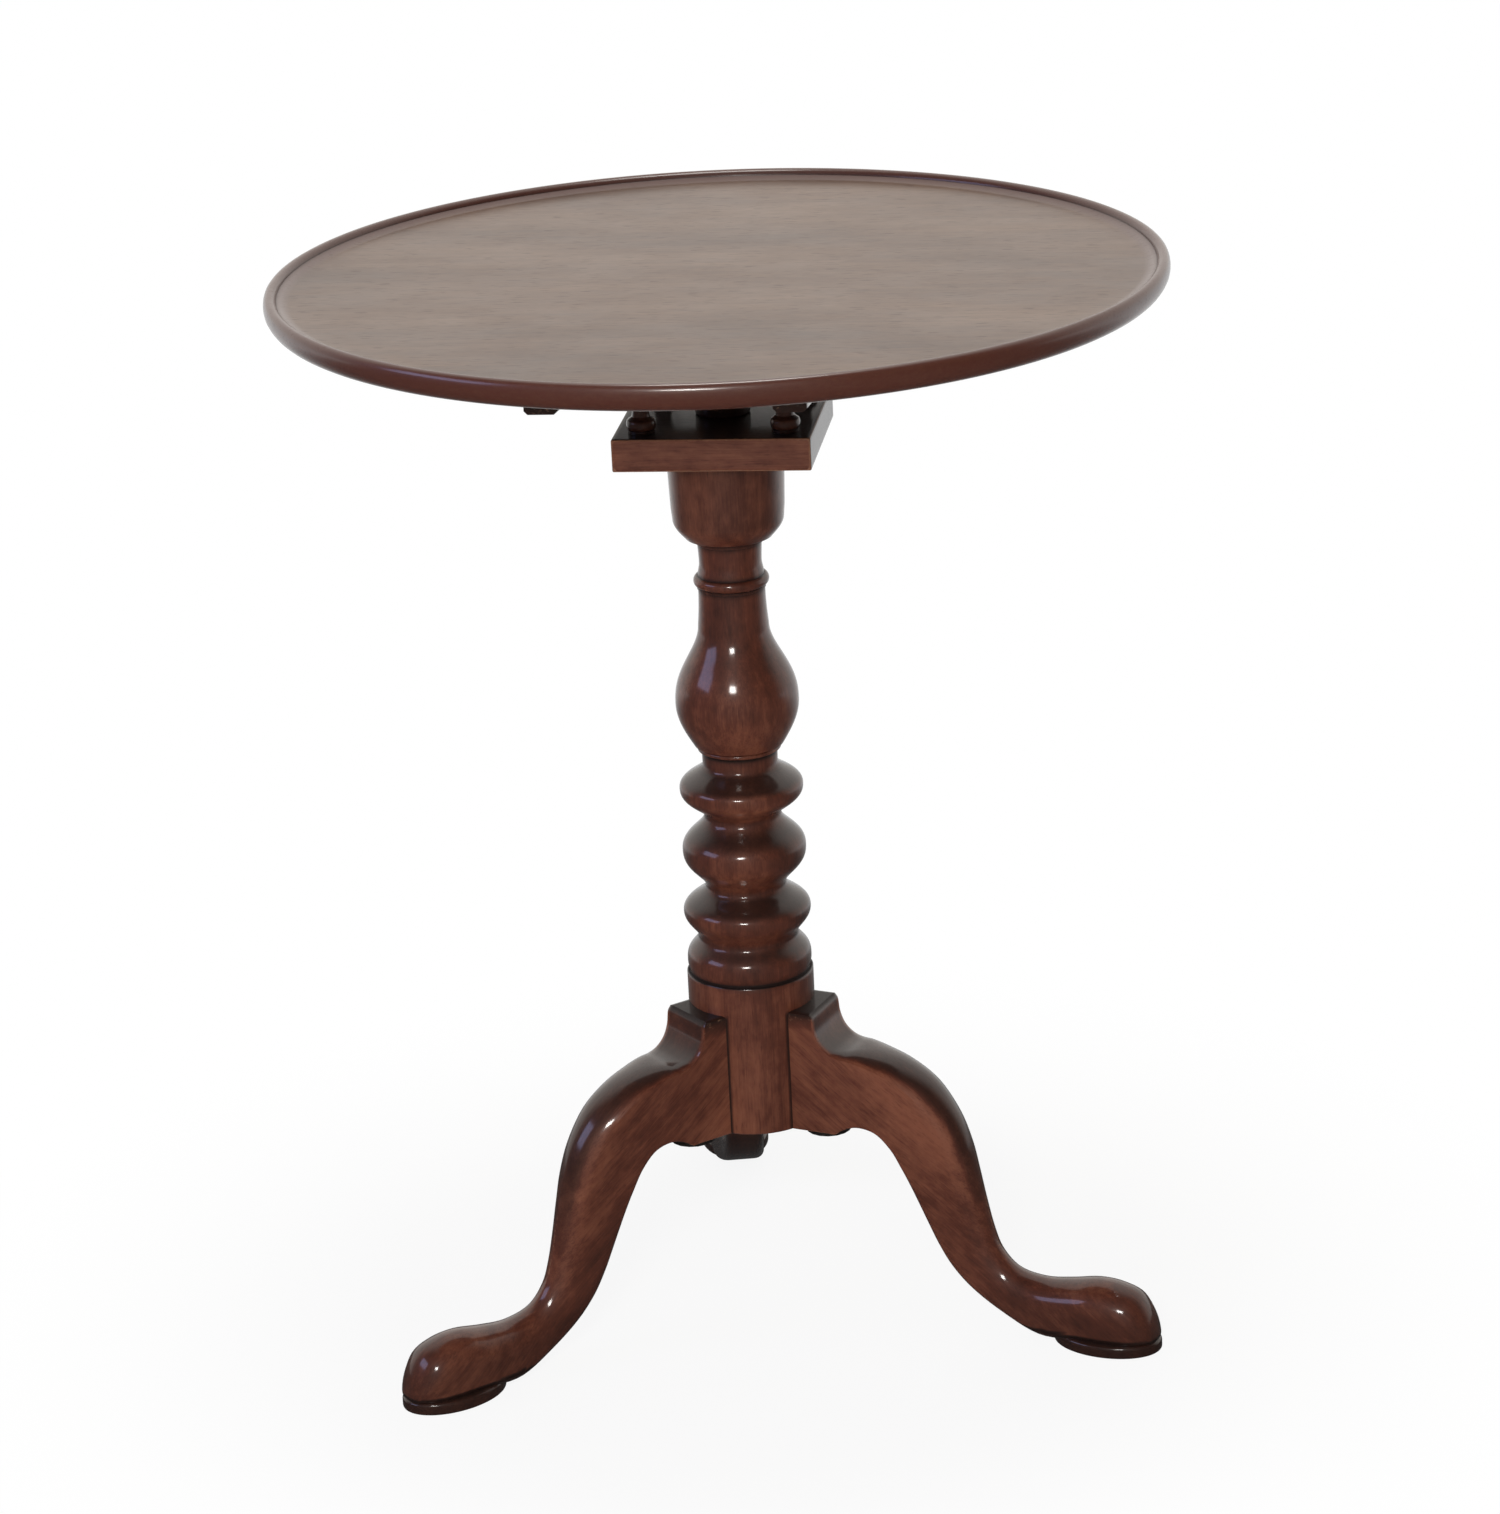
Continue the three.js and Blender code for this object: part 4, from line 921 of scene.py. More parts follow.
@dataclass
class Leg:
    """A cabriole leg with its pad foot, drawn along +X and then turned to its place.

    A rib holds its place on the upper edge, its place on the underside, its thickness, its crown and the
    rounding of its lower edges. Reaches and heights are shares; a height of 1 is the underside at the pillar
    and 2 the shoulder.
    """

    name: str
    angle: float
    root: float = 41.5
    reach: float = 282.8
    root_height: float = 130.0
    shoulder: float = 83.3
    thickness: float = 42.0
    edge: float = 0.8
    pad_length: float = 73.0
    pad_width: float = 48.0
    pad_height: float = 9.0
    key_depth: float = 15.0
    key_half: float = 6.5
    key_tail_half: float = 9.5
    key_top: float = 204.3
    key_gap: float = 0.12
    fibre_tilt: float = 38.0
    # Amounts: painted shade on the crown and in the pad's groove, dirt on the pad, painted light on the
    # sides higher up.
    ear_dark: float = 1.15
    crown_dark: float = 0.75
    gap_dark: float = 1.7
    pad_dark: float = 0.9
    foot_dark: float = 0.3
    rear_foot_dark: float = 0.85
    root_light: float = 0.35
    lightened: float = 0.1
    steps: int = 5
    ribs: tuple[tuple[float, ...], ...] = (
        (0.038, 2, 0.03, 1, 1, 0.02, 0.02),
        (0.0465, 1.965, 0.038, 1, 1, 0.02, 0.02),
        (0.0519, 1.8566, 0.046, 1, 1, 0.02, 0.02),
        (0.0664, 1.7593, 0.062, 1, 1, 0.025, 0.02),
        (0.0915, 1.6952, 0.0825, 1, 1, 0.035, 0.02),
        (0.1189, 1.6777, 0.1, 1, 1, 0.06, 0.02),
        (0.1529, 1.681, 0.1213, 1.0399, 0.995, 0.09, 0.03),
        (0.2021, 1.6633, 0.1598, 1.0766, 0.98, 0.13, 0.04),
        (0.2831, 1.5955, 0.2132, 1.0474, 0.94, 0.18, 0.0385),
        (0.3647, 1.4544, 0.255, 0.9495, 0.88, 0.24, 0.055),
        (0.4304, 1.2106, 0.2825, 0.8444, 0.8, 0.3, 0.077),
        (0.4648, 0.9842, 0.3054, 0.7457, 0.74, 0.35, 0.099),
        (0.4853, 0.836, 0.3249, 0.656, 0.69, 0.38, 0.11),
        (0.5034, 0.6839, 0.3486, 0.552, 0.655, 0.4, 0.121),
        (0.5243, 0.531, 0.376, 0.4405, 0.63, 0.42, 0.132),
        (0.5469, 0.4254, 0.4117, 0.3303, 0.62, 0.43, 0.143),
        (0.5934, 0.3327, 0.4695, 0.2209, 0.64, 0.43, 0.154),
        (0.6674, 0.3009, 0.5622, 0.1146, 0.71, 0.42, 0.154),
        (0.7436, 0.3156, 0.671, 0.042, 0.84, 0.4, 0.11),
        (0.8206, 0.3399, 0.7745, 0.04, 0.94, 0.4, 0.16),
        (0.8849, 0.332, 0.866, 0.04, 0.96, 0.4, 0.16),
        (0.9426, 0.2925, 0.928, 0.04, 0.87, 0.4, 0.16),
        (0.9786, 0.1963, 0.97, 0.045, 0.64, 0.35, 0.16),
        (0.9913, 0.1101, 0.99, 0.055, 0.36, 0.25, 0.14),
        (0.9945, 0.085, 0.994, 0.068, 0.12, 0.1, 0.1),
    )

    def _place(self, reach: float, height: float) -> Point:
        """Places a rib's end, given as shares of the leg's reach and height."""
        rise = self.root_height * height if height <= 1 else self.root_height + self.shoulder * (height - 1)
        return self.root + reach * (self.reach - self.root), rise

    def _rows(self) -> np.ndarray:
        """Fills in ribs between the given ones, on smooth curves through them."""
        rows = np.array([[*self._place(*r[:2]), *self._place(*r[2:4]), *r[4:]] for r in self.ribs])
        upper, lower = (np.linalg.norm(np.diff(rows[:, i : i + 2], axis=0), axis=1) for i in (0, 2))
        knots = np.concatenate([[0], np.cumsum(np.sqrt(upper + 0.5 * lower))])
        slopes = np.gradient(rows, knots, axis=0)
        made = []
        for i in range(len(rows) - 1):
            span = knots[i + 1] - knots[i]
            for t in np.arange(self.steps) / self.steps:
                made.append(
                    rows[i] * (2 * t**3 - 3 * t**2 + 1)
                    + rows[i + 1] * (3 * t**2 - 2 * t**3)
                    + slopes[i] * span * (t**3 - 2 * t**2 + t)
                    + slopes[i + 1] * span * (t**3 - t**2)
                )
        root = rows[0].copy()
        root[[0, 2]] = self.root - 7.5
        return np.array([root, *made, rows[-1]])

    def _section(self, row: np.ndarray) -> list[Vector]:
        """Draws a rib's ring: the underside, both flat sides and the crowned upper face.

        Args:
            row: A row of filled-in ribs.

        Returns:
            The ring's places.
        """
        low, high = Vector((row[2], 0, row[3])), Vector((row[0], 0, row[1]))
        thickness, crown, edge = row[4:]
        length = (high - low).length
        up = (high - low) / length
        half = self.thickness * thickness / 2
        rise = max(self.edge, min(self.thickness * crown, length * 0.6))
        across = min(half, max(self.edge, half * min(1, crown / 0.12)))
        corner = max(self.edge, min(self.thickness * edge, length * 0.35, half))
        full = math.radians(58 + 32 * min(1, max(0, (crown - 0.18) / 0.24)))
        turns = np.linspace(np.pi / 2, 0, 6)
        points = [(half - corner * (1 - math.cos(a)), corner * (1 - math.sin(a))) for a in turns]
        points += [(half, h) for h in np.linspace(corner, length - rise, 8)[1:-1]]
        for angle in np.linspace(full, 0, 10):
            wide = half - across + across * math.sin(angle) / math.sin(full)
            points.append((wide, length - rise * (1 - math.cos(angle)) / (1 - math.cos(full))))
        if across < half - 0.01:
            points[-1] = (half - across, length)
        mirrored = [(-w, h) for w, h in reversed(points)]
        ring = [*points, *(mirrored if points[-1][0] > 0.01 else mirrored[1:])]
        return [low + up * h + Vector((0, w, 0)) for w, h in ring]

    def _shell(self) -> list[list[Vector]]:
        """Lists the leg's rings, each with the same number of places."""
        rings = []
        for row in self._rows():
            ring = self._section(row)
            if len(ring) % 2:
                middle = len(ring) // 2
                ring.insert(middle, ring[middle].copy())
                ring[middle] += Vector((0, 0.02, 0))
                ring[middle + 1] -= Vector((0, 0.02, 0))
            rings.append(ring)
        return rings

    def _pad(self, blank: Blank) -> None:
        """Adds the oval pad under the foot, with a worn round edge and a groove above it."""
        height, scale = self.pad_height, self.pad_length / 2
        outline = [
            (0, 0),
            (scale - 1.6, 0),
            *cornered((scale - 2.0, 2.0), 2.0, -80, 0, 4),
            *cornered((scale - 2.4, height - 3.4), 2.4, 0, 75, 5),
            (scale - 3.2, height - 0.7),
            (scale - 5.5, height),
            (0, height),
        ]
        oval = Matrix.Diagonal((1, self.pad_width / self.pad_length, 1, 1))
        blank.turn(spaced(outline, 4), 96, Matrix.Translation((self.reach - scale, 0, 0)) @ oval)

    def _key(self, blank: Blank) -> None:
        """Adds the dovetail that holds the leg in the pillar."""
        low = (self.root - self.key_depth, -self.key_half, self.root_height - self.key_gap)
        for vert in blank.block(low, (self.root - 1, self.key_half, self.key_top)):
            if vert.co.x < self.root - self.key_depth / 2:
                vert.co.y *= self.key_tail_half / self.key_half

    def _crown(self, place: np.ndarray) -> np.ndarray:
        """Tells how near each place is to the middle of the leg's upper face."""
        turn, rows = math.radians(self.angle), self._rows()
        along = place[:, 0] * math.cos(turn) + place[:, 1] * math.sin(turn)
        across = np.abs(place[:, 1] * math.cos(turn) - place[:, 0] * math.sin(turn))
        gaps = np.hypot(along[:, None] - rows[:, 0], place[:, 2][:, None] - rows[:, 1])
        half = self.thickness * rows[gaps.argmin(axis=1), 4] / 2
        return ramp(gaps.min(axis=1), 9, 3) * ramp(half - across, 1.5, 5.5)

    def _soil_and_shade(self, place: np.ndarray) -> np.ndarray:
        """Shade number: dirty pad, darker ear tops and foot, painted shade on crown and pad groove, painted
        light.
        """
        height, root_top = place[:, 2], self.root_height + self.shoulder
        ear = ramp(height, root_top - 4, root_top - 1) * self.ear_dark
        if self.name == "rear":
            return ear + ramp(height, 75, 50) * self.rear_foot_dark
        # Painted shade on the leg's upper face.
        crown = self._crown(place) * ramp(height, 70, 130) * self.crown_dark
        # Painted shade in the groove between the foot and the pad.
        gap = ramp(np.abs(height - self.pad_height - 0.6), 1.4, 0) * self.gap_dark
        pad = ramp(height, self.pad_height + 1.5, self.pad_height - 0.5) * self.pad_dark
        dark = crown + ear + np.maximum(pad, ramp(height, 52, 22) * self.foot_dark)
        # Painted light on the sides, more towards the root, where nothing else darkens them.
        return dark + gap - (ramp(height, 80, 120) * self.root_light + self.lightened) * ramp(dark, 1 / 3, 0)

    def build(self, shop: Workshop) -> None:
        """Carves the leg and turns it to its place."""
        blank = Blank()
        blank.loft(self._shell())
        self._pad(blank)
        self._key(blank)
        turned = Matrix.Rotation(math.radians(self.angle), 4, "Z")
        blank.move(blank.bm.verts, turned)
        fibres = Matrix.Rotation(math.radians(-self.fibre_tilt), 4, "Y") @ turned.inverted()
        to_plank = Matrix(((0, 1, 0, 0), (0, 0, 1, 0), (1, 0, 0, 0), (0, 0, 0, 1)))
        paint = Paint(to_plank @ fibres, wear=600, sharp=32, shade=self._soil_and_shade)
        shop.fit(blank, f"leg_{self.name}", Body.STAND, Slot.MAHOGANY, paint)


@dataclass
class IronBrace:
    """The wrought-iron brace under the pillar and its six nails."""

    ease: float = 0.5
    nail_z: float = 124.4
    head: float = 4.6
    shank: float = 1.7
    length: float = 19.0

    def build(self, shop: Workshop) -> None:
        """Forges the brace and its nails."""
        shop.fit_node("iron_brace", Body.STAND, Slot.IRON, self.ease, paint=Paint(wear=900))
        for name in LEG_ANGLES:
            for number in (1, 2):
                self._nail(shop, f"brace_nail_{name}_{number}")

    def _nail(self, shop: Workshop, node: str) -> None:
        """Puts a hand-made nail where the frame has one."""
        middle = sum(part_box(node), Vector()) / 2 / TO_METRES
        blank = Blank()
        shares = ((0, -2.2), (0.28, -2.2), (0.52, -1.9), (0.78, -1.1), (0.96, -0.3), (1, 0))
        outline = [(self.head * share, height) for share, height in shares]
        outline += [(self.shank, 0), (self.shank - 0.1, self.length - 5), (0, self.length)]
        verts = blank.turn(outline, 20, Matrix.Translation((middle.x, middle.y, self.nail_z)))
        for vert in verts:
            if vert.co.z < self.nail_z:
                vert.co.x += 0.35 * math.sin(vert.co.y * 1.7)
        shop.fit(blank, node, Body.STAND, Slot.IRON)


# The birdcage


@dataclass
class Birdcage:
    """Two square plates, four colonnettes, the collar and the strike of the catch."""

    half: float = 62.5
    lower: tuple[float, float] = (589.0, 610.0)
    lower_ease: float = 1.1
    upper: tuple[float, float] = (665.7, 685.7)
    upper_ease: float = 0.4
    colonnette: float = 45.3
    colonnette_radius: float = 9.4
    tenon: Point = (5.0, 12.0)
    collar: tuple[float, float] = (610.3, 619.9)
    collar_radius: float = 17.5
    collar_bore: float = 13.3
    bore: float = 13.4
    # Painted shade on the plate's ends and top, the top also dusty; the edges are lightened.
    end_dark: float = 1.2
    edge_lightening: float = 0.55
    top_dark: float = 1.5

    def _plate_shade(self, place: np.ndarray) -> np.ndarray:
        """Lightens the plate's edges; darkens and dulls its ends (painted shade) and top (dust, painted
        shade).
        """
        edge = np.where(np.abs(place[:, 0]) > self.half - 0.3, self.end_dark, -self.edge_lightening)
        return np.where(place[:, 2] > self.lower[1] - 0.3, self.top_dark, edge)

    def _lower_plate(self, shop: Workshop) -> None:
        """Saws, bores and eases the lower plate."""
        low, high = self.lower
        blank, cutter = Blank(), Blank()
        verts = blank.block((-self.half, -self.half, low), (self.half, self.half, high))
        blank.soften(verts, self.lower_ease, 3)
        edges = [s * (self.half - d) for s in (-1, 1) for d in (3, 7, 14, 25)]
        blank.score(0, edges)
        blank.score(1, edges)
        blank.score(2, [low + 3.5, (low + high) / 2, high - 3.5])
        cutter.turn([(0, low - 5), (self.bore, low - 5), (self.bore, high + 5), (0, high + 5)], 64)
        blank.carve(cutter)
        paint = Paint(Grain.ALONG_X, wear=300, rounds=1, shade=self._plate_shade)
        shop.fit(blank, "birdcage_lower_plate", Body.BIRDCAGE, Slot.MAHOGANY, paint)

    def _colonnettes(self, shop: Workshop) -> None:
        """Turns the four colonnettes."""
        low, high, radius = self.lower[1] + 0.3, self.upper[0] - 0.3, self.colonnette_radius
        thin, deep = self.tenon

        def at(wide: float, up: float) -> Point:
            """Places a station, given as shares of the colonnette's radius and length."""
            return wide * radius, low + up * (high - low)

        base, base_top, bead, quirk = at(0.9, 0), at(0.9, 0.035), at(1, 0.16), at(0.62, 0.19)
        neck, belly, waist = at(0.56, 0.25), at(0.9, 0.42), at(0.58, 0.68)
        root, ring, flare, head = at(0.6, 0.73), at(0.84, 0.8), at(0.62, 0.83), at(0.95, 0.965)
        outline = [
            (0, low - deep),
            (thin, low - deep),
            (thin, low),
            base,
            base_top,
            (base[0] - 0.5, base_top[1] + 0.2),
            *beaded(base[0] - 0.5, bead[0], base_top[1] + 0.2, bead[1], 10),
            quirk,
            neck,
            *eased(neck, belly, 1, 12),
            *eased(belly, waist, 1, 14),
            root,
            *beaded(root[0], ring[0], root[1], ring[1], 8)[1:],
            flare,
            *eased(flare, head, 1, 10),
            (head[0], high),
            (thin, high),
            (thin, high + deep),
            (0, high + deep),
        ]
        # Painted shade: the colonnettes stand in the board's shadow.
        paint = Paint(hollow=600, wear=5000, shade=0.85)
        for number, (x, y) in enumerate(((-1, -1), (1, -1), (1, 1), (-1, 1)), 1):
            blank = Blank()
            blank.turn(outline, 48, Matrix.Translation((x * self.colonnette, y * self.colonnette, 0)))
            shop.fit(blank, f"colonnette_{number}", Body.BIRDCAGE, Slot.MAHOGANY, paint)

    def _collar(self, shop: Workshop) -> None:
        """Turns the loose collar under the wedge."""
        (low, high), radius, inner = self.collar, self.collar_radius, self.collar_bore
        blank = Blank()
        outline = [
            (inner, low),
            (radius - 1, low),
            *cornered((radius - 1.2, low + 1.2), 1.2, -75, 0, 4),
            *cornered((radius - 2.4, high - 2.4), 2.4, 0, 90, 6),
            (inner + 0.6, high),
            (inner, high - 0.6),
            (inner, low),
        ]
        blank.turn(outline, 72)
        # Painted shade under the board.
        shop.fit(blank, "collar", Body.BIRDCAGE, Slot.MAHOGANY, Paint(shade=0.9))

    def build(self, shop: Workshop) -> None:
        """Makes the birdcage's pieces."""
        self._lower_plate(shop)
        # Painted shade under the board.
        paint = Paint(Grain.ALONG_X, wear=900, shade=0.7)
        shop.fit_node("birdcage_upper_plate", Body.BIRDCAGE, Slot.MAHOGANY, self.upper_ease, paint=paint)
        self._colonnettes(shop)
        self._collar(shop)
        shop.fit_node("strike_plate", Body.BIRDCAGE, Slot.BRASS)
        for number in (1, 2):
            Screw(f"strike_screw_{number}", Body.BIRDCAGE, Slot.BRASS, direction=(0, -1, 0)).build(shop)


@dataclass
class Screw:
    """A slotted countersunk screw, which points the way its direction says."""

    node: str
    body: Body
    slot: Slot
    head: float = 2.7
    head_height: float = 1.4
    shank: float = 1.3
    length: float = 8.4
    slot_width: float = 0.6
    slot_depth: float = 0.6
    direction: tuple[float, float, float] = (0, 0, 1)

    def build(self, shop: Workshop) -> None:
        """Turns the screw, saws its slot and puts it where the frame has it."""
        low, high = (Vector(corner) / TO_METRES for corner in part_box(self.node))
        way = Vector(self.direction)
        face = (low + high) / 2 - way * abs((high - low).dot(way)) / 2
        blank, cutter = Blank(), Blank()
        outline = [
            (0, 0),
            (self.head - 0.15, 0),
            (self.head, 0.15),
            (self.shank, self.head_height),
            (self.shank * 0.9, self.length - 2),
            (0, self.length),
        ]
        blank.turn(outline, 28)
        half = self.slot_width / 2
        cutter.block((-half, -self.head - 1, -1), (half, self.head + 1, self.slot_depth))
        blank.carve(cutter)
        turned = Vector((0, 0, 1)).rotation_difference(way).to_matrix().to_4x4()
        blank.move(blank.bm.verts, Matrix.Translation(face) @ turned)
        shop.fit(blank, self.node, self.body, self.slot)


# The top


@dataclass
class TopBoard:
    """The dished round board with its moulded rim."""

    radius: float = 283.0
    under: float = 686.2
    floor: float = 698.2
    crest: float = 704.2
    rim: float = 15.0
    undercut: float = 12.0
    rim_dark: float = 1.05
    cove_dark: float = 0.35
    flank_dark: float = 0.15
    sides: int = 288

    def _outline(self) -> list[Point]:
        """Draws the board's section, from the middle of its underside round to the middle of its floor."""
        edge = self.crest - self.under
        under = ((1, 0), (0.78, 0.015), (0.6, 0.055), (0.42, 0.12), (0.25, 0.22), (0.13, 0.33))
        under += ((0.04, 0.46), (0.005, 0.58), (0, 0.68), (0.025, 0.8), (0.08, 0.9))
        upper = ((0.13, 0.96), (0.2, 0.99), (0.27, 1), (0.36, 0.99), (0.44, 0.955), (0.5, 0.9), (0.53, 0.85))
        upper += ((0.55, 0.8), (0.6, 0.785), (0.68, 0.755), (0.78, 0.72), (0.9, 0.69))
        floor_edge = self.radius - self.rim
        return [
            (0, self.under),
            *[(self.radius - a * self.undercut, self.under + b * edge) for a, b in under],
            *[(self.radius - a * self.rim, self.under + b * edge) for a, b in upper],
            (floor_edge, self.floor + 0.15),
            (floor_edge - 1.5, self.floor),
            (0, self.floor),
        ]

    def _shade(self, place: np.ndarray) -> np.ndarray:
        """Keeps the rim dark and red; paints shade on the bead's inner side, darkest, and on the underside.
        """
        inward = self.radius - np.hypot(place[:, 0], place[:, 1])
        rim = ramp(inward, self.rim + 2, self.rim - 4) * self.rim_dark
        cove = ramp(inward, self.rim + 4, self.rim - 4) * self.cove_dark
        # Painted shade on the bead's inner side.
        flank = ramp(np.abs(inward - self.rim * 0.52), 2.5, 0) * (place[:, 2] > self.floor) * self.flank_dark
        # Painted shade on the underside.
        return np.maximum(np.maximum(rim, cove), place[:, 2] < self.under + 2) + flank

    def build(self, shop: Workshop) -> None:
        """Turns the board."""
        blank = Blank()
        blank.turn(spaced(self._outline(), 12), self.sides)
        paint = Paint(Grain.ALONG_X, hollow=700, wear=500, rounds=1, sharp=34, shade=self._shade)
        shop.fit(blank, "top_board", Body.TOP, Slot.TOP, paint)


@dataclass
class Bearers:
    """The two bearers under the board and their screws."""

    ease: float = 0.5
    division: float = 12.0

    def build(self, shop: Workshop) -> None:
        """Planes the bearers and drives their screws."""
        for name in ("bearer_left", "bearer_right"):
            blank = Blank()
            blank.take_node(name)
            blank.soften(blank.bm.verts, self.ease, 2, 28)
            blank.score(1, [y * self.division for y in range(-19, 20)])
            # Painted shade under the board.
            shop.fit(blank, name, Body.TOP, Slot.MAHOGANY, Paint(Grain.ALONG_Y, wear=6000, shade=1.0))
        for number in range(1, 7):
            Screw(f"bearer_screw_{number}", Body.TOP, Slot.STEEL, 4.4, 2.6, 2.1, 27.3, 0.9, 1.0).build(shop)


@dataclass
class Catch:
    """The brass catch under the top: case, bolt, knob, spring and screws."""

    ease: float = 0.35
    spring_ease: float = 0.15
    knob_radius: float = 5.2
    knob_height: float = 10.0
    knob_stem: float = 1.8

    def _knob(self, shop: Workshop) -> None:
        """Turns the bolt's knob."""
        low, high = (Vector(corner) / TO_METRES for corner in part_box("catch_knob"))
        middle = (low + high) / 2
        radius, height = self.knob_radius, self.knob_height
        shares = ((0.3, 0), (0.6, 0.04), (0.8, 0.11), (0.93, 0.21), (1, 0.34), (0.95, 0.44), (0.84, 0.52))
        shares += ((0.6, 0.6), (0.44, 0.67), (0.42, 0.75), (0.44, 0.84), (0.52, 0.93), (0.62, 1))
        outline = [
            (0, low.z),
            *[(r * radius, low.z + z * height) for r, z in shares],
            (self.knob_stem, low.z + height),
            (self.knob_stem, high.z),
            (0, high.z),
        ]
        blank = Blank()
        blank.turn(outline, 48, Matrix.Translation((middle.x, middle.y, 0)))
        shop.fit(blank, "catch_knob", Body.BOLT, Slot.BRASS, Paint(hollow=400, wear=900))

    def build(self, shop: Workshop) -> None:
        """Makes the catch's pieces."""
        shop.fit_node("catch_case", Body.TOP, Slot.BRASS, self.ease)
        shop.fit_node("catch_spring", Body.TOP, Slot.STEEL, self.spring_ease)
        shop.fit_node("catch_bolt", Body.BOLT, Slot.BRASS, self.ease)
        self._knob(shop)
        for number in range(1, 5):
            Screw(f"catch_screw_{number}", Body.TOP, Slot.BRASS).build(shop)


@dataclass
class Wedge:
    """The wedge through the shaft, which keeps the birdcage down."""

    ease: float = 0.7

    def build(self, shop: Workshop) -> None:
        """Eases the wedge's arrises."""
        shop.fit_node("wedge", Body.WEDGE, Slot.PALE, self.ease, 25, Paint(Grain.ALONG_X))


# The studio


@dataclass(frozen=True)
class Lamp:
    """A soft lamp, which polished surfaces mirror or not. Its lengths are in metres."""

    name: str
    place: tuple[float, float, float]
    aim: tuple[float, float, float]
    size: Point
    watts: float
    tint: Colour = (1.0, 0.97, 0.93)
    mirrored: bool = True

    def hang(self) -> None:
        """Hangs the lamp and turns it to its aim."""
        data = bpy.data.lights.new(self.name, "AREA")
        data.shape, data.size, data.size_y = "RECTANGLE", *self.size
        data.energy, data.color = self.watts, self.tint
        lamp = bpy.data.objects.new(self.name, data)
        lamp.location = self.place
        lamp.rotation_euler = (Vector(self.aim) - Vector(self.place)).to_track_quat("-Z", "Y").to_euler()
        lamp.visible_camera, lamp.visible_glossy = False, self.mirrored
        bpy.context.scene.collection.objects.link(lamp)


LAMPS = (
    Lamp("key", (0.01, -2.88, 1.8), (0, 0, 0.45), (0.58, 0.42), 38),
    Lamp("window", (-2.44, -1.19, 1.67), (0, 0, 0.45), (1.5, 0.9), 14, tint=(0.55, 0.6, 1.0)),
    Lamp("overhead", (0, 0.25, 2.9), (0, 0.1, 0.7), (0.8, 0.8), 24),
    Lamp("back", (0.5, 2.4, 0.9), (0, 0, 0.4), (2.0, 1.2), 12, mirrored=False),
    Lamp("low", (0.1, -1.7, 0.06), (0, 0, 0.5), (2.2, 0.8), 15, tint=(1.0, 0.94, 0.88), mirrored=False),
)


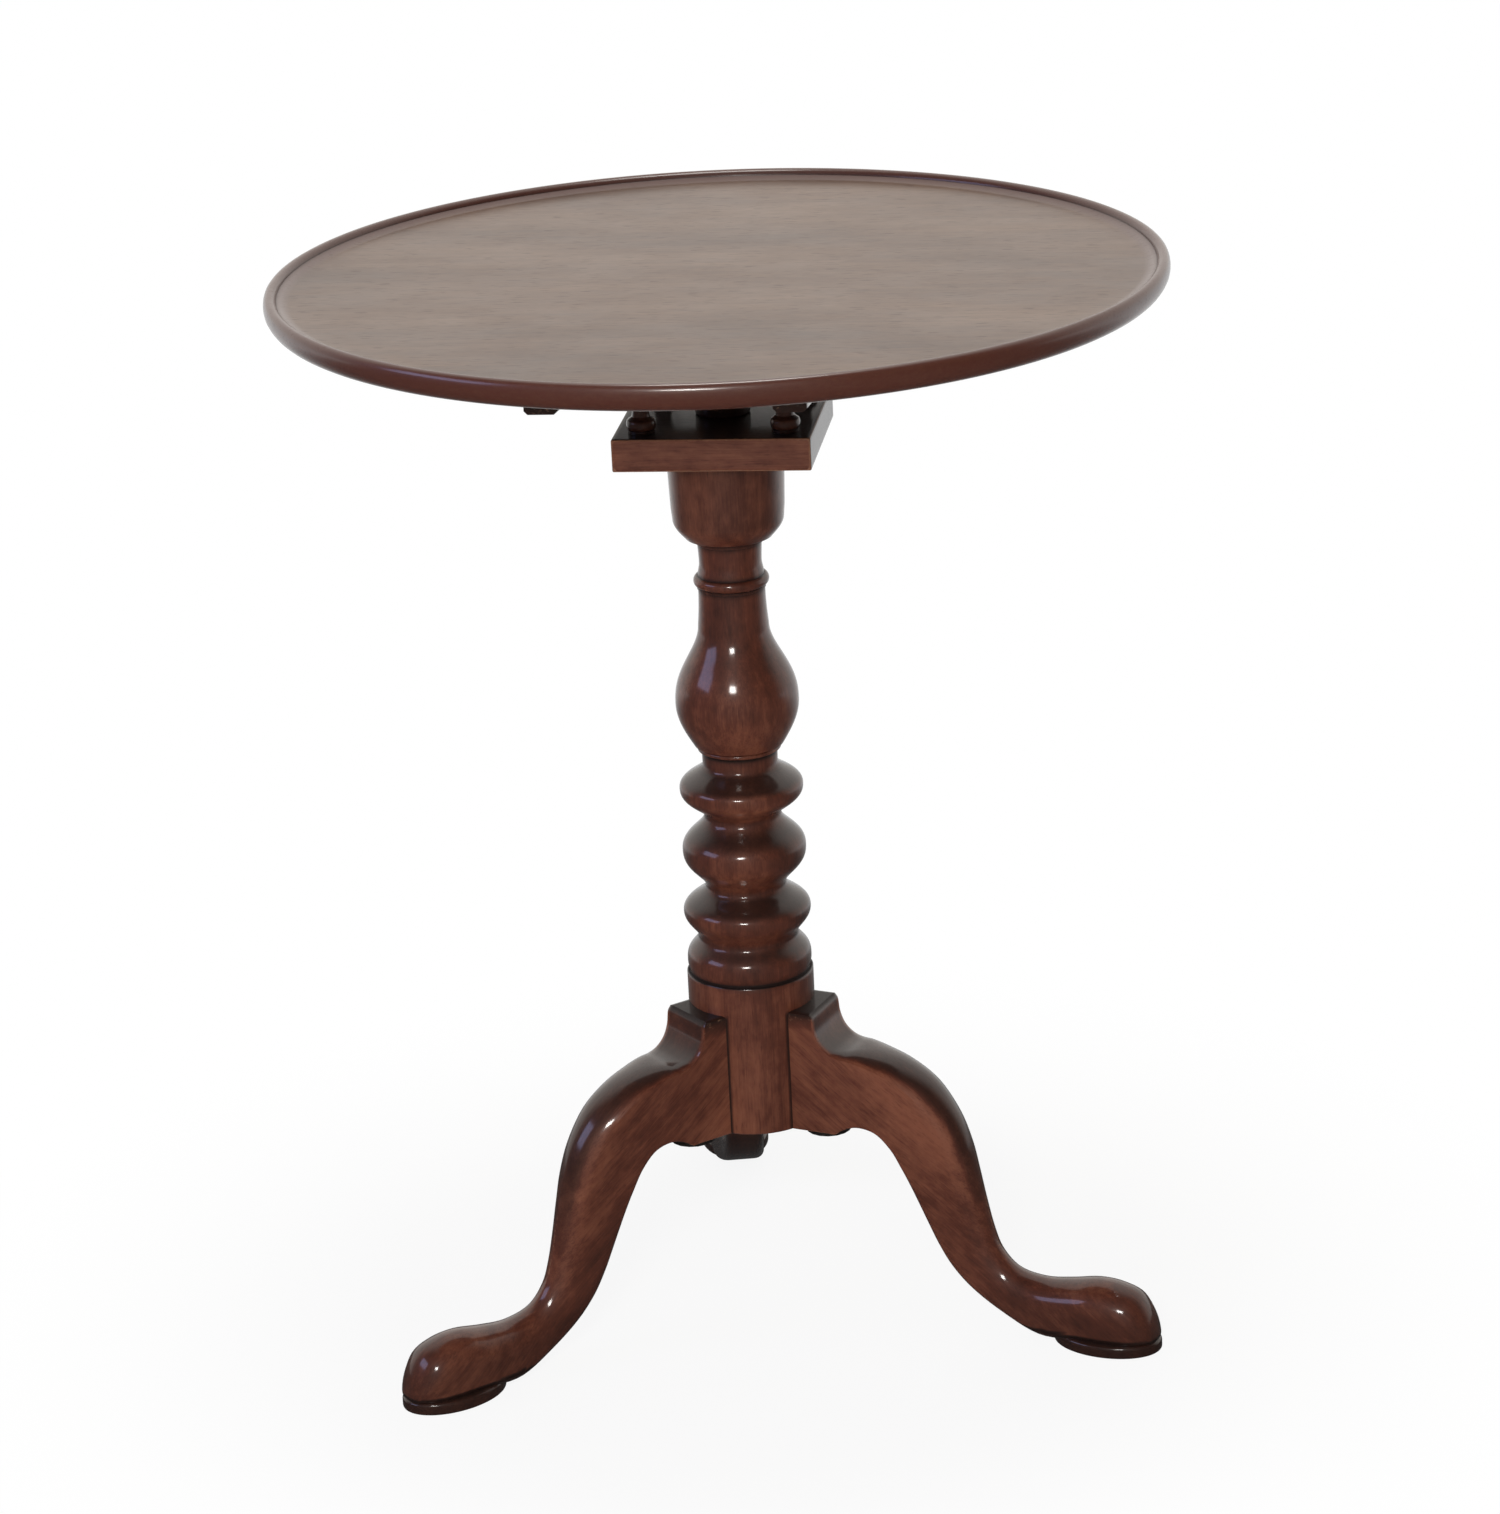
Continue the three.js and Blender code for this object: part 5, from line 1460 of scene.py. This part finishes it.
@dataclass
class Studio:
    """Floor, lamps, world and camera."""

    lens_px: float = 4758.0
    distance: float = 2.906
    height: float = 1.4033
    pan: float = 0.157
    pitch: float = 19.425
    roll: float = -2.772
    turn: float = 8.27
    shift: float = -0.0015
    dim: float = 0.22

    def camera(self) -> None:
        """Sets the camera where the photograph was taken from."""
        pan, pitch, roll = (math.radians(a) for a in (self.pan, self.pitch, self.roll))
        ahead = Vector((math.sin(pan) * math.cos(pitch), math.cos(pan) * math.cos(pitch), -math.sin(pitch)))
        level = Vector((math.cos(pan), -math.sin(pan), 0))
        above = level.cross(ahead)
        right = math.cos(roll) * level + math.sin(roll) * above
        up = math.cos(roll) * above - math.sin(roll) * level
        place = Matrix.Translation((self.shift, -self.distance, self.height))
        facing = Matrix((right, up, -ahead)).transposed().to_4x4()
        data = bpy.data.cameras.new("camera")
        data.sensor_width, data.lens, data.clip_end = 36, self.lens_px / IMAGE_SIDE * 36, 100
        camera = bpy.data.objects.new("camera", data)
        camera.matrix_world = Matrix.Rotation(math.radians(self.turn), 4, "Z") @ place @ facing
        bpy.context.scene.collection.objects.link(camera)
        bpy.context.scene.camera = camera

    def world(self) -> None:
        """Makes the air pale: white to the camera, bright behind the stand and dim in front of it."""
        world = bpy.data.worlds.new("studio")
        world.use_nodes = True
        bench = ShaderBench(world.node_tree)
        camera, glossy = bench.ray("Is Camera Ray"), bench.ray("Is Glossy Ray")
        way = bench.node("ShaderNodeTexCoord", {}, {}, out="Generated")
        behind = bench.node("ShaderNodeSeparateXYZ", {}, {0: way}, out="Y")
        level = glossy * (behind.rise(-0.1, 0.5) * 0.9 + (0.05 - self.dim)) + self.dim
        level = level.most(camera)
        tint = bench.blend(camera, (1.0, 0.96, 0.91), (1.0, 1.0, 1.0))
        air = bench.node("ShaderNodeBackground", {}, {"Color": tint, "Strength": level})
        bench.node("ShaderNodeOutputWorld", {}, {"Surface": air})
        bpy.context.scene.world = world

    def floor(self) -> None:
        """Lays a white floor that keeps the stand's shadow near its feet."""
        blank = bmesh.new()
        bmesh.ops.create_circle(blank, cap_ends=True, radius=40, segments=96)
        mesh = bpy.data.meshes.new("floor")
        blank.to_mesh(mesh)
        blank.free()
        floor = bpy.data.objects.new("floor", mesh)
        bpy.context.scene.collection.objects.link(floor)
        material, bench = new_material("white_floor")
        place = bench.node("ShaderNodeTexCoord", {}, {}, out="Object")
        far = bench.node("ShaderNodeVectorMath", {"operation": "LENGTH"}, {0: place}, out="Value")
        plain = bench.node("ShaderNodeBsdfDiffuse", {}, {"Color": (0.95, 0.95, 0.95)})
        camera, glossy = bench.ray("Is Camera Ray"), bench.ray("Is Glossy Ray")
        behind = bench.node("ShaderNodeSeparateXYZ", {}, {0: place}, out="Y").rise(0.2, 1.5)
        white = bench.node("ShaderNodeEmission", {}, {"Strength": camera.most(behind * 0.85 + 0.06)})
        share = (camera * (far.rise(0.22, 0.6) * 0.1 + 0.9)).most(glossy)
        made = bench.node("ShaderNodeMixShader", {}, {0: share, 1: plain, 2: white})
        bench.node("ShaderNodeOutputMaterial", {}, {"Surface": made})
        mesh.materials.append(material)

    def build(self) -> None:
        """Sets up the whole studio."""
        bpy.context.scene.view_settings.view_transform = "Standard"
        self.camera()
        for lamp in LAMPS:
            lamp.hang()
        self.world()
        self.floor()


def main() -> None:
    """Builds the stand's pieces in order."""
    logging.basicConfig(level=logging.INFO, format="%(name)s: %(message)s")
    shop = Workshop()
    steps: tuple[Callable[[Workshop], None], ...] = (
        Pillar().build,
        *(Leg(name, angle, lightened=LEG_SIDE_LIGHT[name]).build for name, angle in LEG_ANGLES.items()),
        IronBrace().build,
        Birdcage().build,
        Wedge().build,
        TopBoard().build,
        Bearers().build,
        Catch().build,
    )
    for step in steps:
        step(shop)
    Studio().build()
    log.info("%d pieces fitted", shop.fitted)


if __name__ == "__main__":
    main()
